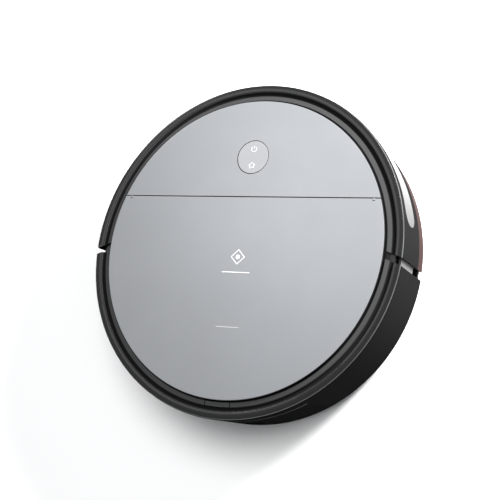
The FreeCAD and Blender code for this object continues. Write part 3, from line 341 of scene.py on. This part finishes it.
def pleated_paper(name, colour):
    """Filter paper with fibres and a little caught dust."""
    paper = Finish(name, colour, 0.9)
    paper.mottle(5 * MM, 0.12).speckle(0.3 * MM, 0.15)
    paper.gloss(4 * MM, 0.05).texture(0.18 * MM, 0.03 * MM, 4.0, stretch=(1, 0.3, 1))
    paper.set("Sheen Weight", 0.3)
    return paper.done()


TRACK_PITCH = 3.2 * MM


def circuit_board(name, colour):
    """Solder mask over copper runs, which show as lighter lines."""
    board = Finish(name, colour, 0.35)
    board.mottle(14 * MM, 0.12)
    runs = board.add("TexVoronoi")
    runs.feature = "DISTANCE_TO_EDGE"
    runs.inputs["Scale"].default_value = 1.0 / TRACK_PITCH
    board.link(board.place, runs.inputs["Vector"])
    track = board.remap(runs.outputs["Distance"], 0.55, 0.0, start=0.03, end=0.09)
    board.tint = board.blend(track, board.tint, board.shade(2.1))
    board.gloss(3 * MM, 0.08).texture(0.6 * MM, 0.01 * MM)
    return board.done()


def shrink_film(name, colour):
    """Glossy wrap with faint shrink wrinkles round each cell."""
    film = Finish(name, colour, 0.28)
    film.mottle(10 * MM, 0.1).worn_edges(0.6 * MM, 0.3)
    film.gloss(6 * MM, 0.07).texture(2.2 * MM, 0.05 * MM, 2.0, stretch=(1, 0.15, 1))
    return film.done()


def printed_ink(name, colour):
    """Thin screen printed ink, a little uneven in cover."""
    ink = Finish(name, colour, 0.6)
    ink.mottle(1.2 * MM, 0.05).gloss(2 * MM, 0.08).texture(0.2 * MM, 0.004 * MM)
    return ink.done()


def make_materials():
    """The materials by the name of their slot. Each has a colour, a roughness and what sets it apart."""
    return {
        "satin_silver": painted_plate("satin_silver_paint", (0.274, 0.283, 0.296), 0.32),
        "key_silver": painted_plate("key_silver_paint", (0.313, 0.319, 0.331), 0.32),
        "symbol_white": printed_ink("white_ink", (0.52, 0.525, 0.53)),
        "symbol_faint": printed_ink("faint_ink", (0.33, 0.333, 0.34)),
        "housing_grey": housing_plastic(),
        "insert_gloss": moulded("insert_plastic", (0.015, 0.0145, 0.0145), 0.13, depth=0.001 * MM,
                                wear=0.15, mirror=0.03),
        "window_rose": tinted_clear("rose_window", (0.018, 0.0085, 0.0075), 0.12, clearness=0.08, mirror=0.0),
        "base_black": moulded("base_plastic", (0.020, 0.020, 0.022), 0.55, grain=0.7 * MM, depth=0.03 * MM),
        "deck_grey": moulded("deck_plastic", (0.042, 0.042, 0.044), 0.5, mirror=0.4),
        "smoked_clear": tinted_clear("smoked_cover", (0.016, 0.017, 0.019), 0.1, clearness=0.2, mirror=0.0),
        "bin_grey": moulded("bin_plastic", (0.006, 0.006, 0.0062), 0.36, mirror=0.0),
        "filter_white": pleated_paper("filter_paper", (0.80, 0.78, 0.72)),
        "filter_blue": moulded("filter_frame_plastic", (0.06, 0.16, 0.33), 0.4),
        "rubber_black": rubber("black_rubber", (0.022, 0.022, 0.023)),
        "hub_grey": moulded("hub_plastic", (0.075, 0.075, 0.08), 0.4),
        "copper_orange": moulded("copper_plastic", (0.50, 0.19, 0.065), 0.33, wear=0.4, coat=0.15),
        "hub_dark": moulded("dark_hub_plastic", (0.030, 0.030, 0.033), 0.34, coat=0.1),
        "bristle_grey": bristle("grey_bristle", (0.36, 0.36, 0.37)),
        "bristle_black": bristle("black_bristle", (0.03, 0.03, 0.034)),
        "roller_core": moulded("roller_core_plastic", (0.06, 0.06, 0.065), 0.42),
        "steel": brushed_metal("drawn_steel", (0.56, 0.56, 0.57), 0.3),
        "contact_nickel": brushed_metal("nickel", (0.66, 0.62, 0.55), 0.16),
        "cell_wrap": shrink_film("cell_film", (0.03, 0.16, 0.10)),
        "board_green": circuit_board("solder_mask", (0.012, 0.085, 0.035)),
        "motor_grey": moulded("gearcase_plastic", (0.23, 0.23, 0.24), 0.45),
        "sensor_dark": tinted_clear("sensor_lens", (0.05, 0.012, 0.02), 0.08, clearness=0.3, mirror=0.5),
        "caster_white": moulded("caster_plastic", (0.68, 0.68, 0.66), 0.4, wear=0.0),
        "fan_beige": moulded("fan_plastic", (0.48, 0.45, 0.38), 0.5),
        "rocker_red": moulded("rocker_plastic", (0.42, 0.02, 0.015), 0.25, coat=0.3),
    }


def dress_cad_nodes(materials):
    """Gives every CAD node its procedural material, by the name of the slot it was packed with."""
    for item in nodes.values():
        for slot in item.material_slots:
            slot_name = slot.material.name.split(".")[0]
            slot.material = materials[slot_name]


# --- mesh building ---

# A strand has three sides. These are its corners' places round its own line, in radians.
STRAND_CORNERS = (0.0, 2.0944, 4.1888)

# How much thinner a strand is at its tip than at its root.
STRAND_TAPER = 0.45

# Faces that meet at less than this angle are shaded as one smooth surface.
SMOOTH_BELOW = math.radians(40)
CIRCLE_SIDES = 48


class Mesh:
    """Vertices and faces of one piece, gathered from closed shapes."""

    def __init__(self):
        self.vertices = []
        self.faces = []

    def loft(self, rings):
        """A closed skin over rings of equal length, with a flat cap at each end."""
        first = len(self.vertices)
        count = len(rings[0])
        for ring in rings:
            self.vertices.extend(ring)
        for i in range(len(rings) - 1):
            for j in range(count):
                a = first + i * count + j
                b = first + i * count + (j + 1) % count
                self.faces.append((a, b, b + count, a + count))
        last = first + (len(rings) - 1) * count
        self.faces.append(tuple(range(first + count - 1, first - 1, -1)))
        self.faces.append(tuple(range(last, last + count)))

    def strand(self, points, thick):
        """A thin three-sided bristle along points, tapering to its tip."""
        rings = []
        for i, point in enumerate(points):
            ahead = points[min(i + 1, len(points) - 1)] - points[max(i - 1, 0)]
            across = ahead.orthogonal().normalized()
            other = ahead.cross(across).normalized()
            size = thick * (1.0 - STRAND_TAPER * i / (len(points) - 1))
            rings.append([point + (across * math.cos(a) + other * math.sin(a)) * size
                          for a in STRAND_CORNERS])
        self.loft(rings)

    def slab(self, outline, low, high):
        """A flat plate between two heights."""
        self.loft([[Vector((x, y, z)) for x, y in outline] for z in (low, high)])

    def band(self, outer, inner, low, high):
        """A flat closed band between two outlines of equal length."""
        first = len(self.vertices)
        count = len(outer)
        for outline, z in ((outer, low), (outer, high), (inner, high), (inner, low)):
            self.vertices.extend(Vector((x, y, z)) for x, y in outline)
        for i in range(4):
            for j in range(count):
                k = (j + 1) % count
                a, b = first + i * count, first + (i + 1) % 4 * count
                self.faces.append((a + j, a + k, b + k, b + j))

    def piece(self, name, material, body, slot, replaced=(), smooth=True):
        """Makes the object, which rides on a CAD body and may stand for some of its nodes."""
        data = bpy.data.meshes.new(name)
        data.from_pydata([tuple(v) for v in self.vertices], [], self.faces)
        skin = bmesh.new()
        skin.from_mesh(data)
        bmesh.ops.recalc_face_normals(skin, faces=skin.faces)
        skin.to_mesh(data)
        skin.free()
        if smooth:
            data.shade_smooth()
        data.materials.append(material)
        item = bpy.data.objects.new(name, data)
        bpy.context.scene.collection.objects.link(item)
        if smooth:
            item.modifiers.new("Edges", "EDGE_SPLIT").split_angle = SMOOTH_BELOW
        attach(item, body)
        if replaced:
            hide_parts(*replaced)


def circle(x, y, radius):
    turns = [2 * math.pi * i / CIRCLE_SIDES for i in range(CIRCLE_SIDES)]
    return [(x + radius * math.cos(a), y + radius * math.sin(a)) for a in turns]


def smooth_step(t):
    """Eases from 0 to 1 as t does."""
    return t * t * (3 - 2 * t)


# --- side brushes ---

BRUSH_ARMS = 3
BRUSH_TURN = math.radians(10)
ARM_ROOT = 13.9 * MM
ARM_TIP = 42.0 * MM
ARM_STATIONS = 22

# The arm's middle line starts at the root's height and falls along a curve.
ARM_ROOT_HEIGHT = 8.0 * MM
ARM_SLOPE = 2.1 * MM
ARM_DROOP = 3.0 * MM

# The arm narrows by up to this part at its waist, and the waist ends short of the tip: the arm is this
# many times as long as it.
ARM_HALF_WIDTH = 2.75 * MM
ARM_WAIST = 0.26
WAIST_PER_ARM = 1.1

ARM_HALF_THICK = 1.4 * MM
ARM_THINNING = 0.4 * MM

# The clamp grips the bristles at the arm's tip. Its start and ramp are parts of the arm's length.
CLAMP_START = 0.82
CLAMP_RAMP = 0.06
CLAMP_WIDENING = 0.5 * MM
CLAMP_THICKENING = 0.12 * MM

# A spine runs along the arm's top, within this part of its half width.
SPINE_HEIGHT = 0.35 * MM
SPINE_REACH = 0.2

# The arm's outline across its length, in half widths and half thicknesses.
ARM_OUTLINE = (
    (-1.0, 0.0), (-0.86, 0.72), (-0.55, 0.95), (-0.18, 1.0), (0.0, 1.0), (0.18, 1.0), (0.55, 0.95),
    (0.86, 0.72), (1.0, 0.0), (0.8, -0.8), (0.4, -1.0), (-0.4, -1.0), (-0.8, -0.8),
)

# A tuft is a flat fan of strands, which start inside the clamp, flare out and sag a little. Those at
# its edges are shorter, and each strand differs from the next by up to the jitters.
STRANDS_PER_TUFT = 64
STRAND_STEPS = 4
STRAND_THICK = 0.16 * MM
TUFT_START = ARM_TIP - 1.2 * MM
TUFT_ROOT_HALF = 1.5 * MM
TUFT_FLARE = 4.7 * MM
FLARE_POWER = 1.15
TUFT_SAG = 0.25 * MM
TUFT_ROOT_HEIGHT = 2.9 * MM
TUFT_TIP_HEIGHT = 2.5 * MM
BRUSH_REACH = 68.3 * MM
EDGE_SHORTER = 1.4 * MM
SPREAD_JITTER = 0.03
REACH_JITTER = 1.6 * MM
STRAND_JITTER = 0.5 * MM
TIP_RISE = 0.6 * MM


def brush_directions(centre):
    """The arms' directions. One points inwards, turned a little, and the two brushes are mirror images."""
    inward = math.atan2(-centre.y, -centre.x) - math.copysign(BRUSH_TURN, centre.x)
    return [inward + 2 * math.pi * i / BRUSH_ARMS for i in range(BRUSH_ARMS)]


def along_and_across(direction):
    """Level unit vectors along a direction and a quarter turn to its left."""
    along = Vector((math.cos(direction), math.sin(direction), 0))
    return along, Vector((-along.y, along.x, 0))


def arm_profile(t):
    """The arm's middle height, half width and half thickness, from root 0 to tip 1."""
    middle = ARM_ROOT_HEIGHT - ARM_SLOPE * t - ARM_DROOP * t * t
    waist = 1.0 - ARM_WAIST * math.sin(math.pi * min(1.0, t * WAIST_PER_ARM))
    return middle, ARM_HALF_WIDTH * waist, ARM_HALF_THICK - ARM_THINNING * t


def rubber_arm(mesh, centre, direction):
    """One drooping arm with rounded edges, a raised spine and a clamp that grips the bristles."""
    along, across = along_and_across(direction)
    rings = []
    for i in range(ARM_STATIONS + 1):
        t = i / ARM_STATIONS
        middle, wide, thick = arm_profile(t)
        clamp = smooth_step(max(0.0, min(1.0, (t - CLAMP_START) / CLAMP_RAMP)))
        wide += clamp * CLAMP_WIDENING
        thick += clamp * CLAMP_THICKENING
        spine = SPINE_HEIGHT * math.sin(math.pi * t) * (1 - clamp)
        foot = centre + along * (ARM_ROOT + (ARM_TIP - ARM_ROOT) * t)
        ring = []
        for u, v in ARM_OUTLINE:
            lift = spine if abs(u) < SPINE_REACH and v > 0 else 0.0
            ring.append(Vector((foot.x, foot.y, middle + v * thick + lift)) + across * u * wide)
        rings.append(ring)
    mesh.loft(rings)


def bristle_fan(mesh, centre, direction):
    """A flat fan of separate bristles, which spreads and droops towards its tips."""
    along, across = along_and_across(direction)
    for i in range(STRANDS_PER_TUFT):
        spread = (i + 0.5) / STRANDS_PER_TUFT * 2 - 1 + chance.uniform(-SPREAD_JITTER, SPREAD_JITTER)
        reach = BRUSH_REACH - abs(spread) * EDGE_SHORTER - chance.uniform(0.0, REACH_JITTER)
        root_height = TUFT_ROOT_HEIGHT + chance.uniform(-STRAND_JITTER, STRAND_JITTER)
        tip_height = TUFT_TIP_HEIGHT + chance.uniform(-STRAND_JITTER, TIP_RISE)
        bow = chance.uniform(-STRAND_JITTER, STRAND_JITTER)
        points = []
        for k in range(STRAND_STEPS + 1):
            t = k / STRAND_STEPS
            bulge = math.sin(math.pi * t)
            distance = TUFT_START + (reach - TUFT_START) * t
            side = spread * (TUFT_ROOT_HALF + TUFT_FLARE * t ** FLARE_POWER) + bow * bulge
            height = root_height + (tip_height - root_height) * t - TUFT_SAG * bulge
            points.append(centre + along * distance + across * side + Vector((0, 0, height)))
        mesh.strand(points, STRAND_THICK)


def make_side_brushes(materials):
    for side in ("right", "left"):
        hub = centre_of(f"{side}_brush_hub")
        centre = Vector((hub.x, hub.y, 0))
        arms, fans = Mesh(), Mesh()
        for direction in brush_directions(centre):
            rubber_arm(arms, centre, direction)
            bristle_fan(fans, centre, direction)
        arms.piece(f"{side}_brush_rubber_arms", materials["rubber_black"], f"{side}_brush",
                   "rubber_black", [f"{side}_brush_arms"])
        fans.piece(f"{side}_brush_bristles", materials["bristle_grey"], f"{side}_brush",
                   "bristle_grey", [f"{side}_brush_tufts"], smooth=False)


# --- main roller ---

CORE_RADIUS = 8.3 * MM
CHEVRON = math.radians(30)
ROLLER_ROWS = 3

# A blade's height over the core and its half width, in millimetres, from its root to its tip.
BLADE_PROFILE = ((0.0, 1.5), (1.6, 1.15), (8.6, 0.72), (9.8, 0.95), (10.9, 1.0), (11.5, 0.55))
BLADE_STATIONS = 48
BLADE_INSET = 0.2 * MM

# A bundle of bristles opens out: its half length along the roller and half width, in millimetres,
# at its root, middle and tip.
BUNDLE_SPREAD = ((0.9, 0.7), (1.2, 1.0), (1.9, 1.6))
BUNDLES_PER_ROW = 38
STRANDS_PER_BUNDLE = 15
BUNDLE_STRAND_THICK = 0.17 * MM
BRISTLE_RADIUS = 20.9 * MM
BRISTLE_UNEVENNESS = 0.7 * MM
ROW_INSET = 2 * MM


def roller_point(x, degrees, radius, sideways=0.0):
    """A point on a row that bends back from the middle of the roller towards both ends."""
    angle = math.radians(degrees) + CHEVRON * abs(x) / ROLLER_END
    out = Vector((0, -math.sin(angle), math.cos(angle)))
    round_way = Vector((0, -math.cos(angle), -math.sin(angle)))
    return Vector((x, ROLLER_AXIS.y, ROLLER_AXIS.z)) + out * radius + round_way * sideways


def rubber_blade(mesh, degrees):
    """A thin wiper with a thick root and a beaded tip."""
    end = ROLLER_END - BLADE_INSET
    rings = []
    for i in range(BLADE_STATIONS + 1):
        x = ROLLER_END * (2 * i / BLADE_STATIONS - 1)
        x = max(-end, min(end, x))
        right = [roller_point(x, degrees, CORE_RADIUS + h * MM, w * MM) for h, w in BLADE_PROFILE]
        left = [roller_point(x, degrees, CORE_RADIUS + h * MM, -w * MM) for h, w in reversed(BLADE_PROFILE)]
        rings.append(right + left)
    mesh.loft(rings)


def bristle_row(mesh, degrees):
    """A row of small bundles of bristles."""
    for i in range(BUNDLES_PER_ROW):
        x = (ROLLER_END - ROW_INSET) * (2 * i / (BUNDLES_PER_ROW - 1) - 1)
        for _ in range(STRANDS_PER_BUNDLE):
            lean = chance.uniform(0, 2 * math.pi)
            spread = math.sqrt(chance.random())
            dx, dy = spread * math.cos(lean), spread * math.sin(lean)
            tip_radius = BRISTLE_RADIUS - chance.uniform(0.0, BRISTLE_UNEVENNESS)
            radii = (CORE_RADIUS, (CORE_RADIUS + tip_radius) / 2, tip_radius)
            points = [roller_point(x + dx * long * MM, degrees, radius, dy * wide * MM)
                      for radius, (long, wide) in zip(radii, BUNDLE_SPREAD)]
            mesh.strand(points, BUNDLE_STRAND_THICK)


def make_roller(materials):
    """Blades and bristle rows by turns round the core."""
    blades, rows = Mesh(), Mesh()
    between = 360 / ROLLER_ROWS
    for i in range(ROLLER_ROWS):
        rubber_blade(blades, between * i)
        bristle_row(rows, between * i + between / 2)
    blades.piece("roller_wiper_blades", materials["rubber_black"], "roller", "rubber_black",
                 ["roller_blades"])
    rows.piece("roller_bristle_rows", materials["bristle_black"], "roller", "bristle_black",
               ["roller_bristles"], smooth=False)


# --- springs ---

def make_springs():
    """Copies of the springs of the sliding joints, each riding on its joint's parent body in place of its CAD
    node.
    """
    for joint in frame["record"]["behaviour"]["joints"]:
        if joint["type"] != "slide":
            continue
        for spring in joint.get("deforming_nodes", []):
            node, letter = spring["node"], spring["mode"][-1]
            coils = nodes[node].copy()
            coils.data = nodes[node].data.copy()
            coils.name = f"{node}_coils"
            bpy.context.scene.collection.objects.link(coils)
            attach(coils, joint["parent"])
            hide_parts(node)
            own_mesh(coils)


# --- printed marks ---

INK = 0.06 * MM
LINE_END_STEPS = 8
DIAMOND_Y = -10.0 * MM
DIAMOND_REACH = 7.6 * MM
DIAMOND_INNER = 0.86
DOT_RADIUS = 2.2 * MM


def printed(mesh, outline, top):
    """A filled printed shape, sunk as far into the surface at that height as it stands out of it."""
    mesh.slab(outline, top - INK, top + INK)


def plate_line(mesh, y, length, width):
    """A printed line across the middle of the plate, with round ends."""
    outline = []
    for end, turn in ((1, -90), (-1, 90)):
        for k in range(LINE_END_STEPS + 1):
            a = math.radians(turn + 180 * k / LINE_END_STEPS)
            x = end * (length - width) / 2 + width / 2 * math.cos(a)
            outline.append((x, y + width / 2 * math.sin(a)))
    printed(mesh, outline, PLATE_TOP)


def make_plate_marks(materials):
    """A plain diamond with a dot, and two plain lines: printed decoration with no lettering."""
    marks = Mesh()
    outer = [(0, DIAMOND_Y + DIAMOND_REACH), (-DIAMOND_REACH, DIAMOND_Y),
             (0, DIAMOND_Y - DIAMOND_REACH), (DIAMOND_REACH, DIAMOND_Y)]
    inner = [(x * DIAMOND_INNER, DIAMOND_Y + (y - DIAMOND_Y) * DIAMOND_INNER) for x, y in outer]
    marks.band(outer, inner, PLATE_TOP - INK, PLATE_TOP + INK)
    printed(marks, circle(0, DIAMOND_Y, DOT_RADIUS), PLATE_TOP)
    plate_line(marks, y=-25.0 * MM, length=30 * MM, width=0.8 * MM)
    marks.piece("plate_marks", materials["symbol_white"], "lid", "symbol_white", smooth=False)
    faint_mark = Mesh()
    plate_line(faint_mark, y=-78.0 * MM, length=25 * MM, width=0.6 * MM)
    faint_mark.piece("plate_faint_mark", materials["symbol_faint"], "lid", "symbol_white", smooth=False)


GLYPH_LINE = 0.42 * MM
GLYPH_OFFSET = 8.2 * MM

# The ring is open at its top, this many degrees each side of upright, and a bar stands in the opening.
RING_RADIUS = 2.9 * MM
RING_MOUTH = 38
RING_STEPS = 40
BAR_LOW = 0.9 * MM
BAR_HIGH = 3.1 * MM

# The house, measured from its middle.
ROOF_RISE = 3.0 * MM
ROOF_HALF = 3.3 * MM
EAVE_DROP = 0.1 * MM
WALL_LAP = 0.4 * MM
HOUSE_HALF = 2.3 * MM
HOUSE_DROP = 2.9 * MM
DOOR_HALF = 0.75 * MM
DOOR_HEIGHT = 1.7 * MM


def stroke(mesh, start, end, top):
    """A straight glyph line with square ends."""
    along = Vector((end[0] - start[0], end[1] - start[1])).normalized() * GLYPH_LINE / 2
    side = Vector((-along.y, along.x))
    a, b = Vector(start) - along, Vector(end) + along
    printed(mesh, [tuple(a + side), tuple(a - side), tuple(b - side), tuple(b + side)], top)


def ring_glyph(mesh, y, top):
    """A broken ring with a bar in its mouth."""
    turns = [math.radians(90 + RING_MOUTH + (360 - 2 * RING_MOUTH) * i / RING_STEPS)
             for i in range(RING_STEPS + 1)]
    inner = RING_RADIUS - GLYPH_LINE
    outline = [(RING_RADIUS * math.cos(a), y + RING_RADIUS * math.sin(a)) for a in turns]
    outline += [(inner * math.cos(a), y + inner * math.sin(a)) for a in reversed(turns)]
    printed(mesh, outline, top)
    stroke(mesh, (0, y + BAR_LOW), (0, y + BAR_HIGH), top)


def house_glyph(mesh, y, top):
    """The outline of a house with a door."""
    peak, eave, foot = y + ROOF_RISE, y - EAVE_DROP, y - HOUSE_DROP
    lintel = foot + DOOR_HEIGHT
    for side in (-1, 1):
        wall, jamb = side * HOUSE_HALF, side * DOOR_HALF
        stroke(mesh, (side * ROOF_HALF, eave), (0, peak), top)
        stroke(mesh, (wall, foot), (wall, eave + WALL_LAP), top)
        stroke(mesh, (wall, foot), (jamb, foot), top)
        stroke(mesh, (jamb, foot), (jamb, lintel), top)
    stroke(mesh, (-DOOR_HALF, lintel), (DOOR_HALF, lintel), top)


def make_key_glyphs(materials):
    glyphs = Mesh()
    key = centre_of("key_cap")
    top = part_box("key_cap")[1].z
    ring_glyph(glyphs, key.y + GLYPH_OFFSET, top)
    house_glyph(glyphs, key.y - GLYPH_OFFSET, top)
    glyphs.piece("key_glyphs", materials["symbol_white"], "key", "symbol_white", ["key_symbols"],
                 smooth=False)


# --- caps over the lid's hinge lugs ---

LUG_X = 131.5 * MM
CAP_BACK = 47.6 * MM
CAP_FRONT = 49.65 * MM
CAP_HALF = 1.18 * MM

# Each level's inset from the cap's sides, and its height. The last one rounds the top edge.
CAP_LEVELS = ((0.0, 77.7 * MM), (0.0, 77.9 * MM), (0.12 * MM, 78.0 * MM))


def make_hinge_caps(materials):
    """Silver caps that carry the panel's surface over the two lugs."""
    caps = Mesh()
    for x in (-LUG_X, LUG_X):
        rings = []
        for inset, z in CAP_LEVELS:
            half, back, front = CAP_HALF - inset, CAP_BACK + inset, CAP_FRONT - inset
            corners = ((x - half, back), (x + half, back), (x + half, front), (x - half, front))
            rings.append([Vector((*corner, z)) for corner in corners])
        caps.loft(rings)
    caps.piece("hinge_caps", materials["satin_silver"], "chassis", "satin_silver", smooth=False)


# --- the room, the light and the camera ---

FLOOR_HALF = 4.0
SKY_COLOUR = (0.97, 0.985, 1.0, 1.0)
SKY_STRENGTH = 0.41
FLOOR_AIM = (0, 0, 0.04)
PLATE_AIM = (0.05, 0.06, 0.078)

CAMERA_PLACE = (0.5788, -0.2572, 1.1062)
CAMERA_FORWARD = (-0.4718, 0.2117, -0.8559)
CAMERA_UPWARD = (-0.0290, 0.9665, 0.2550)
CAMERA_LENS_MM = 91.4
CAMERA_SENSOR_MM = 36.0
CAMERA_NEAREST = 0.05


def make_floor():
    floor = Finish("pale_floor", (0.88, 0.88, 0.88), 0.85)
    floor.mottle(0.6, 0.012).gloss(0.2, 0.05)
    data = bpy.data.meshes.new("floor")
    low, high = -FLOOR_HALF, FLOOR_HALF
    corners = [(low, low, 0), (high, low, 0), (high, high, 0), (low, high, 0)]
    data.from_pydata(corners, [], [(0, 1, 2, 3)])
    data.materials.append(floor.done())
    item = bpy.data.objects.new("floor", data)
    bpy.context.scene.collection.objects.link(item)


def soft_light(name, place, size, power, aim=FLOOR_AIM, mirrored=True, spread=True):
    """A round softbox aimed at a point. It shows in glossy surfaces where it is mirrored, and lights
    matt ones where it is spread."""
    lamp = bpy.data.lights.new(name, "AREA")
    lamp.shape = "DISK"
    lamp.size = size
    lamp.energy = power
    item = bpy.data.objects.new(name, lamp)
    bpy.context.scene.collection.objects.link(item)
    item.location = place
    item.visible_glossy = mirrored
    item.visible_diffuse = spread
    item.rotation_mode = "QUATERNION"
    item.rotation_quaternion = (Vector(aim) - Vector(place)).to_track_quat("-Z", "Y")


def make_lights():
    world = bpy.data.worlds.new("studio")
    world.use_nodes = True
    sky = world.node_tree.nodes["Background"]
    sky.inputs["Color"].default_value = SKY_COLOUR
    sky.inputs["Strength"].default_value = SKY_STRENGTH
    bpy.context.scene.world = world
    soft_light("key_light", place=(0.30, 0.35, 1.80), size=1.3, power=31, mirrored=False)
    soft_light("glow_light", place=(-0.347, 0.298, 0.85), size=0.42, power=0.55, aim=PLATE_AIM)
    soft_light("side_light", place=(0.62, 0.52, 0.30), size=0.35, power=48, mirrored=False)
    soft_light("rim_light", place=(-1.11, 0.93, 0.47), size=0.6, power=3.5, spread=False)
    bpy.context.scene.view_settings.view_transform = "Standard"


def make_camera():
    """A view from high over the robot's right rear, turned a little."""
    camera = bpy.data.cameras.new("camera")
    camera.lens = CAMERA_LENS_MM
    camera.sensor_width = CAMERA_SENSOR_MM
    camera.clip_start = CAMERA_NEAREST
    item = bpy.data.objects.new("camera", camera)
    bpy.context.scene.collection.objects.link(item)
    forward = Vector(CAMERA_FORWARD).normalized()
    right = forward.cross(Vector(CAMERA_UPWARD)).normalized()
    upward = right.cross(forward)
    turn = Matrix((right, upward, -forward)).transposed()
    item.matrix_world = Matrix.Translation(CAMERA_PLACE) @ turn.to_4x4()
    bpy.context.scene.camera = item


make_camera()
finishes = make_materials()
dress_cad_nodes(finishes)
make_side_brushes(finishes)
make_roller(finishes)
make_springs()
make_plate_marks(finishes)
make_key_glyphs(finishes)
make_hinge_caps(finishes)
make_floor()
make_lights()
